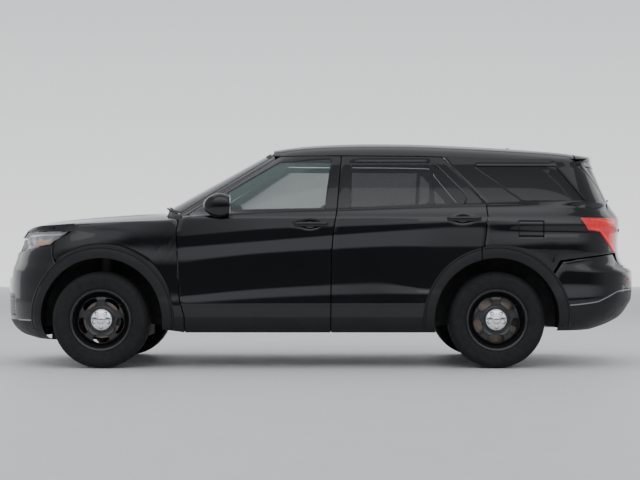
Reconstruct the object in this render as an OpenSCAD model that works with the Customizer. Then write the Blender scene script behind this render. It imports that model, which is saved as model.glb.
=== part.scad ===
// Police sport utility vehicle with opening doors, hood, liftgate and fuel door, and steered front wheels.
// Frame: +X to the front, +Y to the vehicle's left, +Z up. The origin is on the ground, under the middle.

/* [Overall] */
// Length over both bumpers
overall_length = 5050; // [4900:10:5200]
// Width over the body sides, without flares and mirrors
body_width = 2000; // [1950:2:2040]
// Height of the roof crown above the ground
roof_height = 1763; // [1735:1:1800]
// Distance between the axles, as a share of the length
wheelbase_share = 0.599; // [0.585:0.001:0.61]
// Distance from the front bumper to the front axle, as a share of the length
front_share = 0.1683; // [0.162:0.0001:0.175]
// Distance between the two wheel centre planes of an axle
track = 1690; // [1660:2:1700]

/* [Wheels] */
// Tyre outside diameter as it stands
tyre_d = 740; // [720:2:750]
// Tyre section width
tyre_w = 250; // [225:1:255]
// Diameter of the rim's bead seat
rim_d = 457; // [420:1:470]
// Width of the rim over its flanges
rim_w = 216; // [190:1:216]
// Diameter of the bright centre cap
cap_d = 184; // [160:1:190]
// Bolt circle of the wheel
wheel_pcd = 114.3; // [100:0.1:130]

/* [Panels] */
// Gap between neighbouring panels
panel_gap = 7; // [6:0.5:9]
// Thickness of fenders, hood, roof and bumper covers
skin = 22; // [18:1:30]
// Thickness of a whole door below its window
door_t = 120; // [100:1:130]
// Thickness of a door frame beside its window
frame_t = 46; // [40:1:55]
// Thickness of the window glass
glass_t = 6; // [5:0.5:8]
// Depth of the glass below the outer surface
glass_in = 12; // [8:1:16]
// Radius of the wheel arch openings
arch_r = 472; // [465:1:485]
// Width of the flare band around an arch
flare_w = 92; // [70:1:110]
// Height of the flares over the painted panel
flare_h = 9; // [6:1:14]

/* [Heights] */
// Lower edge of the doors
sill_z = 272; // [262:1:290]
// Beltline at the front door
belt_z = 1180; // [1165:1:1195]
// Upper edge of the doors
rail_z = 1634; // [1620:1:1640]

/* [Hidden] */
$fn = 64;

axle_f = round(overall_length * (0.5 - front_share));
axle_r = axle_f - round(overall_length * wheelbase_share);
tyre_r = tyre_d / 2;

// The tables below draw one reference car. Every point of the body is then moved to the sizes set above:
// along it between bumpers and axles, across it by its width, and in height above the wheel arches.
tail_x = -2525;
rx = -1350;                                 // rear axle of the reference car
bx = -82;                                   // foot of the line between its doors
fx = 1675;                                  // front axle of the reference car
nose_x = 2525;
half_w = 1000;
top_z = 1763;
fixed_z = 900;                              // heights up to here follow the wheels and stay
x_places = [[tail_x, -overall_length / 2], [rx, axle_r], [fx, axle_f], [nose_x, overall_length / 2]];
y_share = body_width / 2 / half_w;
z_share = (roof_height - fixed_z) / (top_z - fixed_z);
function fit(p) = [
  lookup(p[0], x_places), p[1] * y_share, p[2] <= fixed_z ? p[2] : fixed_z + (p[2] - fixed_z) * z_share];
module fit_at(p) { translate(fit(p)) children(); }
// Box between two corners of the reference car.
module fit_box(low, high) { translate(fit(low)) cube(fit(high) - fit(low)); }
// Outline in side view, given from a place of the reference car.
function fit_outline(points, x, z) = [for (q = points) let (w = fit([x + q[0], 0, z + q[1]])) [w[0], w[2]]];
// Outline drawn out across the car between two distances.
module fit_across(points, x, z, y0, y1) {
  translate([0, y1 * y_share, 0]) rotate([90, 0, 0]) linear_extrude((y1 - y0) * y_share)
    polygon(fit_outline(points, x, z));
}

paint = "#15161a";
trim = "#232427";
glass_tint = "#54605f";
steel = "#3a3c40";
chrome = "#d8d9db";

// Body sections below the beltline. Columns: height, side inset, front setback, rear setback.
lower_sections = [
  [205, 200, 215, 640], [240, 140, 110, 480], [280, 92, 60, 340], [330, 45, 25, 200], [390, 17, 3, 100],
  [480, 2, 0, 35], [520, 0, 0, 14], [640, 17, 0, 2], [735, 19, 8, 0], [765, 19, 14, 30], [800, 18, 30, 82],
  [890, 12, 58, 112], [930, 10, 75, 116], [1000, 16, 95, 114], [1045, 24, 125, 110], [1095, 17, 170, 104],
  [1150, 30, 300, 106], [1190, 45, 420, 125], [1262, 62, 700, 190]];
// Cabin half width less the lower body's, above the beltline. Columns: height, inset.
cabin_insets = [[1100, 24], [1190, 50], [1300, 90], [1420, 142], [1540, 200], [1640, 255], [1830, 365]];

// Roundness of the plan outline: the nose, the tail, the cabin's front and rear, and the flanks.
nose_round = 8;
tail_round = 12;
screen_round = 7;
gate_round = 13;
flank_round = 2.2;
cabin_mid_x = fx - 2275;

// Windscreen and rear window lines at the middle of the car.
screen_foot = [fx - 445, 1240];
screen_run = 1.815;
rear_foot = [tail_x + 195, 1266];
rear_run = 0.395;
function screen_x(z) = screen_foot[0] - (z - screen_foot[1]) * screen_run;
function rear_x(z) = rear_foot[0] + (z - rear_foot[1]) * rear_run;

// Roof line along the middle. Columns: distance, drop below the crown.
roof_drops = [
  [rx - 1150, 160], [rx - 850, 114], [rx - 350, 58], [rx + 250, 18], [rx + 750, 1], [fx - 1840, 0],
  [fx - 1575, 9], [fx - 1332, 36], [fx - 1100, 70]];
// Upper edge of the lower body along its side. Columns: distance, height.
belt_line = [
  [tail_x, 1255], [tail_x + 195, 1250], [rx + 270, belt_z + 48], [fx - 1800, belt_z + 16], [fx - 1030, belt_z],
  [fx - 612, 1151], [fx - 535, 1143], [fx - 175, 1128], [fx + 375, 1098], [fx + 525, 1080],
  [fx + 625, 1050], [fx + 725, 1000], [nose_x, 960]];
// Crown of the hood over that edge. Columns: distance, height.
hood_crown = [[fx - 900, 0], [fx - 535, 81], [fx - 175, 70], [fx + 375, 46], [fx + 575, 28], [nose_x - 60, 0]];
hood_half = 835;
// Upper edge of the doors and quarter panels. Columns: distance, height.
rail_line = [
  [tail_x + 535, rail_z - 24], [rx - 200, rail_z - 30], [rx + 640, rail_z - 4], [bx, rail_z], [fx, rail_z]];

function column(table, k) = [for (row = table) [row[0], row[k]]];
side_insets = column(lower_sections, 1);
nose_setbacks = column(lower_sections, 2);
tail_setbacks = column(lower_sections, 3);
function belt(x) = lookup(x, belt_line);
function rail(x) = lookup(x, rail_line);
function deck_z(x, y) = belt(x) + lookup(x, hood_crown) * (1 - pow(min(abs(y) / hood_half, 1.1), 2.2));
function blend(a, b, t) = a + (b - a) * t;

// Half width and reach of the plan outline at a height, for the lower body and for the cabin.
function lower_half(z) = half_w - lookup(z, side_insets);
function nose_reach(z) = nose_x - lookup(z, nose_setbacks);
function tail_reach(z) = -tail_x - lookup(z, tail_setbacks);
function cabin_half(z) = half_w - lookup(z, cabin_insets);

// Side of the body: half width at a distance and height.
function flank(share, round) = pow(1 - pow(min(share, 1), round), 1 / flank_round);
function lower_y(x, z) = lower_half(z)
  * (x >= 0 ? flank(x / nose_reach(z), nose_round) : flank(-x / tail_reach(z), tail_round));
function cabin_y(x, z) = cabin_half(z) * (x >= cabin_mid_x
  ? flank((x - cabin_mid_x) / (screen_x(z) - cabin_mid_x), screen_round)
  : flank((cabin_mid_x - x) / (cabin_mid_x - rear_x(z)), gate_round));
shoulder = 26;
function side_y(x, z) = blend(lower_y(x, z), cabin_y(x, z), max(0, min(1, (z - belt(x)) / shoulder)));
function side_point(x, z, d) = [x, side_y(x, z) - d, z];

// Plan outline walked by an angle: 0 at the middle of nose or tail, 90 at the flank.
function walk_to_y(y, half) = asin(min(1, pow(abs(y) / half, flank_round / 2)));
function walk_to_x(share, round) = acos(min(1, pow(max(share, 0), round / 2)));
function walked(angle, reach, half, round) = [
  reach * pow(cos(angle), 2 / round), half * pow(sin(angle), 2 / flank_round)];
// Point of nose (way 1) or tail (way -1) at a walk angle and height, drawn in by d.
function end_point(way, angle, z, d) =
  let (reach = way > 0 ? nose_reach(z) : tail_reach(z), half = lower_half(z),
       p = walked(angle, reach, half, way > 0 ? nose_round : tail_round))
    [way * p[0] * (1 - d / reach), p[1] * (1 - d / half), z];
// The same point taken in by d in a direction that turns from square to the end (0) to square to the flank (90).
function wrapped(way, angle, z, d, turn) = end_point(way, angle, z, 0) - d * [way * cos(turn), sin(turn), 0];
// Point of the windscreen (way 1) or rear window (way -1) side of the cabin.
function cabin_point(way, angle, z, d) =
  let (reach = way > 0 ? screen_x(z) - cabin_mid_x : cabin_mid_x - rear_x(z), half = cabin_half(z),
       p = walked(angle, reach, half, way > 0 ? screen_round : gate_round))
    [cabin_mid_x + way * p[0] * (1 - d / reach), p[1] * (1 - d / half), z];

// Thick sheet through two equal grids of points. Seen from outside, columns run right and rows run up.
// keep(i, j) tells which cells are there, so a window is a block of cells left out.
module sheet(outer, inner, keep = function(i, j) true) {
  m = len(outer);
  n = len(outer[0]);
  back = m * n;
  function at(i, j) = i * n + j;
  function kept(i, j) = i >= 0 && j >= 0 && i < m - 1 && j < n - 1 && keep(i, j);
  polyhedron(
    points = [for (row = concat(outer, inner)) each [for (p = row) fit(p)]],
    faces = [
      for (i = [0:m - 2], j = [0:n - 2]) if (keep(i, j))
        let (a = at(i, j), b = at(i, j + 1), c = at(i + 1, j + 1), d = at(i + 1, j)) each concat(
          [[a, d, c], [a, c, b], [back + a, back + c, back + d], [back + a, back + b, back + c]],
          kept(i - 1, j) ? [] : [[a, b, back + b], [a, back + b, back + a]],
          kept(i + 1, j) ? [] : [[d, back + d, back + c], [d, back + c, c]],
          kept(i, j - 1) ? [] : [[a, back + a, back + d], [a, back + d, d]],
          kept(i, j + 1) ? [] : [[b, c, back + c], [b, back + c, back + b]])]);
}
module both_sides() {
  children();
  mirror([0, 1, 0]) children();
}
half_gap = panel_gap / 2;
seal_gap = 0.6;                             // a shut door or lid stops this far from its seal

// Shut lines in side view: distance at a height. Columns: height, distance.
door_front_line = [
  [sill_z, fx - 640], [395, fx - 640], [541, fx - 603], [848, fx - 587], [1043, fx - 577], [1110, fx - 590],
  [1151, fx - 612], [rail_z, fx - 1363]];
door_mid_line = [[sill_z, bx], [410, bx], [849, bx - 5], [1043, bx - 20], [1199, bx - 46], [rail_z, bx - 85]];
door_rear_line = [
  [tyre_r + 457, rx + 118], [920, rx + 97], [1157, rx + 67], [1265, rx + 80], [rail_z, rx + 411]];
function arch_x(z) = sqrt(max(0, arch_r * arch_r - pow(z - tyre_r, 2)));
function door_rear_x(z) = z < tyre_r + 457 ? rx + arch_x(z) : lookup(z, door_rear_line);

// Door rows from the bottom up. Columns: height, share of the belt's rise, depth.
door_rows = [
  [sill_z, 0, 60], [330, 0, 90], [395, 0, door_t], [480, 0, door_t], [541, 0, door_t], [640, 0, door_t],
  [735, 0, door_t], [827, 0, door_t], [930, 0, door_t], [1000, 0, door_t], [1045, 0.2, door_t], [1095, 0.6, door_t],
  [1130, 0.8, door_t], [belt_z, 1, door_t], [belt_z + shoulder, 1, frame_t], [1262, 0.8, frame_t],
  [1305, 0.7, frame_t], [1350, 0.6, frame_t], [1430, 0.4, frame_t], [1510, 0.2, frame_t], [1560, 0.1, frame_t],
  [1591, 0, frame_t], [rail_z, 0, frame_t]];
window_foot = 14;
window_head = 21;

// Columns of the front door: its edges, the window's edges and even steps between. Window edges: height, distance.
front_window_front = [[belt_z + shoulder, fx - 1015], [1350, fx - 959], [1591, fx - 1368], [rail_z, fx - 1425]];
front_window_rear = [[belt_z, bx + 51], [1591, bx - 1], [rail_z, bx - 4]];
function lifted(row, x) = row[0] + row[1] * (belt(x) - belt_z);
function front_door_xs(row) =
  let (z = row[0], zf = lifted(row, lookup(z, door_front_line)), f = lookup(zf, door_front_line) - half_gap,
       r = lookup(lifted(row, bx), door_mid_line) + half_gap,
       wf = lookup(z, front_window_front), wr = lookup(z, front_window_rear))
    [f, blend(f, wf, 0.5), wf, blend(wf, wr, 0.25), blend(wf, wr, 0.5), blend(wf, wr, 0.75), wr, r];
// Columns of the rear door, whose window has a fixed pane behind a post.
rear_window_front = [[belt_z, bx - 155], [1591, bx - 168], [rail_z, bx - 172]];
rear_window_rear = [[belt_z, rx + 512], [rail_z, rx + 501]];
vent_front = [[belt_z, rx + 478], [rail_z, rx + 472]];
vent_rear = [
  [820, rx + 240], [1150, rx + 230], [belt_z + shoulder, rx + 262], [1262, rx + 226], [1305, rx + 245],
  [1560, rx + 452], [rail_z, rx + 462]];
function rear_door_xs(row) =
  let (z = row[0], f = lookup(lifted(row, bx), door_mid_line) - half_gap,
       r = door_rear_x(lifted(row, door_rear_x(z))) + half_gap, low = z < tyre_r + 457,
       wf = lookup(z, rear_window_front), wr = low ? blend(wf, r, 0.6) : lookup(z, rear_window_rear),
       vf = low ? blend(wf, r, 0.68) : lookup(z, vent_front), vr = low ? blend(wf, r, 0.85) : lookup(z, vent_rear))
    [f, wf, blend(wf, wr, 0.33), blend(wf, wr, 0.67), wr, vf, vr, r];

function door_z(row, x) = row[0] == rail_z ? rail(x) : lifted(row, x);
function door_grid(xs_at, d) = [
  for (row = door_rows) [for (x = xs_at(row)) side_point(x, door_z(row, x), d < 0 ? row[2] : d)]];
front_xs = function(row) front_door_xs(row);
rear_xs = function(row) rear_door_xs(row);
function in_window(i, j, from, to) = i >= window_foot && i < window_head && j >= from && j < to;

handle_l = 265;
handle_h = 34;
handle_out = 30;
// Grip with two feet on the door skin.
module door_handle(x, z) {
  y = side_y(x, z);
  low = z - handle_h / 2;
  high = z + handle_h / 2;
  fit_box([x - handle_l / 2, y + handle_out - 12, low], [x + handle_l / 2, y + handle_out, high]);
  for (dx = [-handle_l / 2, handle_l / 2 - 40])
    fit_box([x + dx, y - 15, low], [x + dx + 40, y + handle_out - 6, high]);
}
module front_door() {
  sheet(door_grid(front_xs, 0), door_grid(front_xs, -1), function(i, j) !in_window(i, j, 2, 6));
}
module rear_door() {
  sheet(door_grid(rear_xs, 0), door_grid(rear_xs, -1),
    function(i, j) !in_window(i, j, 1, 4) && !(in_window(i, j, 5, 6) && i < window_head - 1));
}
// Part of a grid: rows i0 to i1 and columns j0 to j1.
function patch(grid, i0, i1, j0, j1) = [for (i = [i0:i1]) [for (j = [j0:j1]) grid[i][j]]];
module pane(xs_at, j0, j1, head) {
  sheet(
    patch(door_grid(xs_at, glass_in), window_foot, head, j0, j1),
    patch(door_grid(xs_at, glass_in + glass_t), window_foot, head, j0, j1));
}
module front_pane() { pane(front_xs, 2, 6, window_head); }
module rear_panes() {
  pane(rear_xs, 1, 4, window_head);
  pane(rear_xs, 5, 6, window_head - 1);
}
module door_front_left() { color(paint) { front_door(); door_handle(bx + 150, 1100); } }
module door_front_right() { color(paint) mirror([0, 1, 0]) { front_door(); door_handle(bx + 150, 1100); } }
module door_rear_left() { color(paint) { rear_door(); door_handle(rx + 250, 1142); } }
module door_rear_right() { color(paint) mirror([0, 1, 0]) { rear_door(); door_handle(rx + 250, 1142); } }
module glass_front_left() { color(glass_tint) front_pane(); }
module glass_front_right() { color(glass_tint) mirror([0, 1, 0]) front_pane(); }
module glass_rear_left() { color(glass_tint) rear_panes(); }
module glass_rear_right() { color(glass_tint) mirror([0, 1, 0]) rear_panes(); }

// Mirror on the front door: a rounded shell with its foot on the door skin.
mirror_x = fx - 893;
mirror_ys = [half_w + 22, half_w + 92];
mirror_zs = [1196, 1290];
mirror_r = 42;
mirror_foot = [60, 30, 20];
module mirror_shape() {
  foot = [mirror_x - 12, side_y(mirror_x - 12, 1166) + 2, 1166];
  hull() {
    for (y = mirror_ys, z = mirror_zs) fit_at([mirror_x - 97, y, z])
      rotate([0, 90, 0]) cylinder(r = mirror_r, h = 60, $fn = 24);
    fit_at([mirror_x + 63, half_w + 50, 1245]) sphere(r = 36, $fn = 20);
    fit_at(foot) cube(mirror_foot);
  }
}
module mirror_left() { color(paint) mirror_shape(); }
module mirror_right() { color(paint) mirror([0, 1, 0]) mirror_shape(); }

// Front wing, spread as a fan from the arch to its outline. Columns: distance, height; the roof-side edge turns in.
bumper_seam_x = fx + 375;
wing_low = [
  [fx - 640, sill_z], [fx - 640, 395], [fx - 603, 541], [fx - 593, 700], [fx - 587, 848], [fx - 577, 1043],
  [fx - 590, 1110]];
wing_top_xs = [fx - 560, fx - 480, fx - 370, fx - 250, fx - 120, fx, fx + 110, fx + 205];
wing_front = [[fx + 221, 1056], [fx + 300, 1003], [fx + 373, 952], [bumper_seam_x, 905], [bumper_seam_x, 860]];
function toward(p, c, cut) = let (v = p - c, l = norm(v)) c + v * (1 - cut / l);
wing_centre = [fx, tyre_r];
wing_steps = [0, 0.25, 0.55, 0.85, 0.97];
flare_r = arch_r + flare_w + 0.6;           // the panels start here, and the flare fills the arch
// One column of the fan: from the arch outwards to the edge point p, with the turned-in flange on top.
function wing_column(p, top, d) =
  let (edge = toward(p, wing_centre, half_gap + 0.5), a = toward(p, wing_centre, norm(p - wing_centre) - flare_r))
    concat(
      [for (s = wing_steps) let (q = blend(a, edge, s)) side_point(q[0], q[1], d)],
      [top ? [edge[0], hood_half + half_gap, deck_z(edge[0], hood_half) - d] : side_point(edge[0], edge[1], d)]);
wing_edge = concat(
  [for (p = wing_low) [p, false]], [for (x = wing_top_xs) [[x, belt(x) - 4], true]],
  [for (p = wing_front) [p, false]]);
function turned(grid) = [for (i = [0:len(grid[0]) - 1]) [for (j = [0:len(grid) - 1]) grid[j][i]]];
function wing_grid(d) = turned([for (k = [len(wing_edge) - 1:-1:0]) wing_column(wing_edge[k][0], wing_edge[k][1], d)]);
module fender_shape() { sheet(wing_grid(0), wing_grid(skin)); }
module fender_left() { color(paint) fender_shape(); }
module fender_right() { color(paint) mirror([0, 1, 0]) fender_shape(); }

// Hood from the cowl to a lip above lamps and grille.
hood_ys = [
  -hood_half + half_gap, -760, -650, -520, -505, -350, -180, 0, 180, 350, 505, 520, 650, 760,
  hood_half - half_gap];
function hood_rear_x(y) = fx - 385 - 140 * pow(abs(y) / hood_half, 2);
function nose_at(y, z) = nose_reach(z) * pow(1 - pow(abs(y) / lower_half(z), flank_round), 1 / nose_round);
function hood_front_x(y) = nose_at(y, 1040) - 8;
function lip_z(y) = abs(y) < 512 ? 1004 : 1062;
hood_steps = [0, 0.12, 0.28, 0.45, 0.62, 0.78, 0.9, 1];
function hood_grid(d) = concat(
  [[for (y = hood_ys) [nose_at(y, lip_z(y)) - 4 - d, y, lip_z(y)]]],
  [for (k = [len(hood_steps) - 1:-1:0]) [for (y = hood_ys)
    let (x = blend(hood_rear_x(y), hood_front_x(y) - 0.6 * d, hood_steps[k])) [x, y, deck_z(x, y) - d]]]);
module hood() { color(paint) sheet(hood_grid(0), hood_grid(skin)); }

// Lamp between hood, wing and bumper. Lower edge: distance, height.
lamp_low_line = [[fx + 383, 948], [nose_x - 150, 893]];
function lamp_low(x) = lookup(x, lamp_low_line);
lamp_inner_y = 548;
lamp_top = 1044;
function lamp_row(share, d) =
  let (z0 = blend(930, lamp_top, share), x0 = blend(fx + 404, fx + 262, share),
       a0 = walk_to_y(lamp_inner_y, lower_half(z0)), a1 = walk_to_x(x0 / nose_reach(z0), nose_round))
    [for (k = [0:8]) let (p = end_point(1, blend(a0, a1, k / 8), z0, d)) 
      [p[0], p[1], blend(lamp_low(p[0]) + half_gap, lamp_top, share)]];
module headlamps() {
  color("#c9ced4") both_sides()
    sheet([for (s = [0, 0.35, 0.7, 1]) lamp_row(s, 3)], [for (s = [0, 0.35, 0.7, 1]) lamp_row(s, 40)]);
}

// Front bumper cover with its grille and intake openings.
grille_half = 505;
intake_half = 620;
bumper_t = 24;
nose_ys = [0, 125, 250, 375, grille_half, intake_half];
bumper_zs = [205, 250, 300, 345, 395, 470, 545, 620, 690, 745, 818, 862];
// Rear end of the cover above the arch. Columns: height, distance from the axle.
bumper_back = [[745, 303], [818, 362], [862, 378]];
function bumper_end(z) = fx + half_gap + (z < 745 ? arch_x(z) : lookup(z, bumper_back));
function nose_walk(z) =
  let (a = walk_to_y(intake_half, lower_half(z)), b = walk_to_x(bumper_end(z) / nose_reach(z), nose_round))
    concat([for (y = nose_ys) walk_to_y(y, lower_half(z))], [for (k = [1:6]) blend(a, b, k / 6)]);
function flip_y(p) = [p[0], -p[1], p[2]];
function full_row(half) = concat([for (k = [len(half) - 1:-1:1]) flip_y(half[k])], half);
nose_turns = [0, 3, 6, 9, 12, 16, 25, 40, 55, 70, 82, 90];
function bumper_row(z, d) = full_row([for (k = [0:11]) wrapped(1, nose_walk(z)[k], z, d, nose_turns[k])]);
function bumper_top(d) = full_row([
  for (k = [0:11]) let (a = nose_walk(940)[k], z = lamp_low(end_point(1, a, 920, 0)[0]) - half_gap)
    wrapped(1, a, z, d, nose_turns[k])]);
function bumper_grid(d) = concat([for (z = bumper_zs) bumper_row(z, d)], [bumper_top(d)]);
bumper_mid = 11;
module front_bumper() {
  color(paint) sheet(bumper_grid(0), bumper_grid(bumper_t), function(i, j)
    !(i >= 8 && j >= bumper_mid - 4 && j < bumper_mid + 4)
    && !(i >= 4 && i < 6 && j >= bumper_mid - 5 && j < bumper_mid + 5));
}
// Slatted insert behind an opening: bars in every second row, ribs in every second column.
function slat_grid(half, ribs, zs, d) = [for (z = zs) [for (k = [0:2 * ribs - 1])
  let (y = -half + floor(k / 2) * (2 * half - 12) / (ribs - 1) + (k % 2) * 12,
       p = end_point(1, walk_to_y(y, lower_half(z)), z, d)) [p[0], sign(y) * p[1], z]]];
module slats(half, ribs, zs) {
  sheet(slat_grid(half, ribs, zs, bumper_t + 5), slat_grid(half, ribs, zs, bumper_t + 28),
    function(i, j) i % 2 == 0 || j % 2 == 0);
}
module grille() {
  color(trim) {
    slats(grille_half - 6, 6, [676, 700, 742, 766, 808, 832, 874, 898, 940, 964, 982, 990]);
    slats(intake_half + 14, 7, [384, 408, 446, 466, 504, 524, 550, 562]);
  }
}

// Screen, cowl and wipers.
screen_share = 0.80;
screen_zs = [0, 0.2, 0.4, 0.6, 0.8, 1];
screen_ys = [-1, -0.8, -0.55, -0.28, 0, 0.28, 0.55, 0.8, 1];
function screen_z(s, t) = blend(1245 - 58 * t * t, blend(1702, rail_z + panel_gap, t * t), s);
function screen_grid(d) = [for (s = screen_zs) [for (t = screen_ys)
  let (z = screen_z(s, t), y = abs(t) * screen_share * cabin_half(z), p = cabin_point(1, walk_to_y(y, cabin_half(z)), z, d))
    [p[0], sign(t) * p[1], z]]];
module windscreen() { color(glass_tint) sheet(screen_grid(4), screen_grid(4 + glass_t)); }
function cowl_grid(d) = [
  [for (t = screen_ys) let (y = t * 750, x = hood_rear_x(y) - 34) [x, y, deck_z(x, y) - 34 - d]],
  [for (p = screen_grid(4)[0]) [p[0] + 2, p[1], p[2] - 4 - d]]];
module cowl() { color(trim) sheet(cowl_grid(0), cowl_grid(16)); }
module wipers() {
  color("#0c0c0d") for (w = [[2, -4], [5, -8]]) {
    a = screen_grid(w[1])[0][w[0]];
    b = screen_grid(w[1])[0][w[0] + 2];
    hull() {
      fit_at(a + [8, 0, 6]) sphere(r = 9, $fn = 12);
      fit_at(b + [8, 0, 14]) sphere(r = 7, $fn = 12);
    }
  }
}

// Pillars, sills and floor of the body.
pillar_zs = [1187, 1262, 1350, 1440, 1530, rail_z - 20, rail_z + panel_gap];
function pillar_row(z, d) =
  let (x0 = lookup(min(z, rail_z), door_front_line) + half_gap + 1,
       a0 = walk_to_y(screen_share * cabin_half(z), cabin_half(z)) + 0.5,
       a1 = walk_to_x((x0 - cabin_mid_x) / (screen_x(z) - cabin_mid_x), screen_round))
    [for (k = [0:3]) cabin_point(1, blend(a0, a1, k / 3), z, 0) - d * [cos(12 + 26 * k), sin(12 + 26 * k), 0]];
module a_pillars() {
  color(paint) both_sides() {
    sheet([for (z = pillar_zs) pillar_row(z, 0)], [for (z = pillar_zs) pillar_row(z, 45)]);
    fit_box([fx - 565, 620, 300], [fx - 505, 825, 1100]);
    fit_box([fx - 600, 765, 1060], [fx - 535, 825, 1187]);
  }
}
b_rows = concat([[460, 0, door_t]], [for (row = door_rows) if (row[0] > 470) row]);
function b_grid(extra) = [for (row = b_rows) [for (x = [
    blend(bx + 60, bx - 10, max(0, (row[0] - 900) / 734)), blend(bx - 90, bx - 130, max(0, (row[0] - 900) / 734))])
  side_point(x, row[0] == rail_z ? rail_z + panel_gap : door_z(row, x),
    row[2] + extra + (row[0] < 1001 ? seal_gap : panel_gap))]];
module b_pillars() { color(paint) both_sides() sheet(b_grid(0), b_grid(48)); }
sill_y = [620, 838];
sill_top = 460;
module sills() {
  color(paint) both_sides() fit_box([rx + 490, sill_y[0], 300], [fx - 565, sill_y[1], sill_top]);
}
module floor_pan() {
  post_top = deck_z(fx + 530, 455) - skin - 5;
  color("#2b2c2e") union() {
    fit_box([rx + 480, -620, 318], [fx - 505, 620, 358]);
    fit_box([rx + 480, -130, 300], [fx - 600, 130, 470]);
    fit_box([fx - 545, -620, 318], [fx - 505, 620, 1098]);
    fit_box([tail_x + 330, -560, 500], [rx + 490, 560, 536]);
    fit_box([rx + 480, -620, 318], [rx + 516, 620, 536]);
    for (y = [-470, 400]) fit_box([fx - 520, y, 430], [fx + 700, y + 70, 540]);
    for (y = [-470, 400]) fit_box([tail_x + 200, y, 400], [rx + 490, y + 70, 510]);
    fit_box([fx + 640, -480, 430], [fx + 700, 480, 540]);
    for (y = [-455, 425]) fit_box([fx + 500, y, 430], [fx + 530, y + 30, post_top]);
    fit_box([tail_x + 200, -470, 430], [tail_x + 260, 470, 540]);
    fit_box([tail_x + 188, -300, 430], [tail_x + 228, 300, 830]);
  }
}

// Roof between the rails, from the screen to the liftgate.
roof_xs = [
  fx - 1302, fx - 1340, fx - 1420, fx - 1575, fx - 1840, rx + 850, rx + 400, rx, rx - 350,
  tail_x + 535 + panel_gap];
roof_shares = [-1, -0.985, -0.95, -0.88, -0.76, -0.55, -0.28, 0, 0.28, 0.55, 0.76, 0.88, 0.95, 0.985, 1];
function roof_mid(x) = top_z - lookup(x, roof_drops);
function roof_point(x, share, d) =
  let (e = rail(x) + panel_gap, half = cabin_y(min(x, fx - 1366), e), t = abs(share),
       z = roof_mid(x) - (roof_mid(x) - e) * (0.24 * t * t + 0.76 * pow(t, 10)))
    [x + (x > fx - 1310 ? 30 * (1 - t * t) - 30 : 0), share * (half - d * 1.2), t == 1 ? e : max(e + 4, z - d)];
function roof_grid(d) = [
  for (k = [len(roof_xs) - 1:-1:0]) [for (s = roof_shares) roof_point(roof_xs[k], -s, d)]];
module roof() { color(paint) sheet(roof_grid(0), roof_grid(30)); }
module roof_antenna() {
  color(trim) fit_at([rx - 190, 0, roof_mid(rx - 156) + 0.4]) {
    cylinder(r = 34, h = 12);
    translate([-8, 0, 12]) cylinder(r1 = 23, r2 = 10, h = 22);
  }
}

// Quarter panel behind the rear door, with lamp, fuel and window openings left in its grid.
gate_half = 660;
// Half width of the liftgate. Columns: height, half width.
gate_halves = [
  [1225, gate_half], [1266, gate_half + 8], [1372, gate_half + 30], [1560, gate_half + 60], [1590, gate_half + 58],
  [1660, gate_half + 45]];
function gate_y(z) = lookup(z, gate_halves);
// Lower edge behind the arch, along the bumper seam. Columns: distance, height.
quarter_low_line = [
  [tail_x, 884], [tail_x + 235, 884], [rx - 480, 824], [rx - 429, tyre_r + sqrt(flare_r * flare_r - 429 * 429)]];
function quarter_low(x) = x > rx - 429
  ? tyre_r + sqrt(max(0, flare_r * flare_r - pow(x - rx, 2))) : lookup(x, quarter_low_line);
// Quarter panel rows. Columns: height, depth.
low_row = 935;
quarter_rows = [
  [low_row, 24], [965, 24], [1000, 24], [1128, 24], [1156, 24], [1200, 26], [1236, 30], [1285, 34], [1350, 40],
  [1450, 44], [1559, 46], [rail_z, 46]];
fuel_x = [rx - 162, rx - 360];
quarter_window_front = [[1128, fuel_x[0]], [1285, rx - 204], [1559, rx + 160], [rail_z, rx + 220]];
quarter_window_next = [[1128, fuel_x[1]], [1285, rx - 330], [1559, rx - 150], [rail_z, rx - 100]];
quarter_window_rear = [[1156, tail_x + 533], [1285, rx - 690], [1559, rx - 475], [rail_z, rx - 430]];
function quarter_z(row, x) = row[0] == low_row ? quarter_low(x) : row[0] == rail_z ? rail(x) + panel_gap - 0.4 : row[0];
// Columns of one row: by distance to the lamp's tip, then round the corner to the liftgate.
function quarter_xs(z) =
  let (f = lookup(max(z, tyre_r + 458), door_rear_line) - half_gap, a = lookup(z, quarter_window_front),
       b = lookup(z, quarter_window_next), c = lookup(z, quarter_window_rear))
    [f, blend(f, a, 0.34), blend(f, a, 0.67), a, blend(a, b, 0.35), blend(a, b, 0.68), b,
     z < 1100 ? rx - 429 : blend(b, c, 0.3), z < 1100 ? rx - 480 : blend(b, c, 0.6), c];
function quarter_turn(z, k) = z <= 1240
  ? blend(walk_to_x(-lookup(z, quarter_window_rear) / tail_reach(z), tail_round),
          walk_to_y(gate_half + panel_gap, lower_half(z)), k / 5)
  : blend(walk_to_x((cabin_mid_x - lookup(z, quarter_window_rear)) / (cabin_mid_x - rear_x(z)), gate_round),
          walk_to_y(gate_y(z) + panel_gap, cabin_half(z)), k / 5);
function quarter_corner(row, k, d) =
  let (z = row[0], a = quarter_turn(z, k),
       p = z <= 1240 ? end_point(-1, a, z, 0) : cabin_point(-1, a, z, 0), q = quarter_z(row, p[0]),
       r = z == low_row ? quarter_low(end_point(-1, a, q, 0)[0]) : q, e = z == low_row ? end_point(-1, a, r, 0) : p)
    [e[0] + d * sin(18 * k), e[1] - d * cos(18 * k), r];
function quarter_grid(d) = [for (row = quarter_rows) let (depth = d < 0 ? row[1] : d) concat(
  [for (x = quarter_xs(row[0])) side_point(x, quarter_z(row, x), depth)],
  [for (k = [1:5]) quarter_corner(row, k, depth)])];
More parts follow.
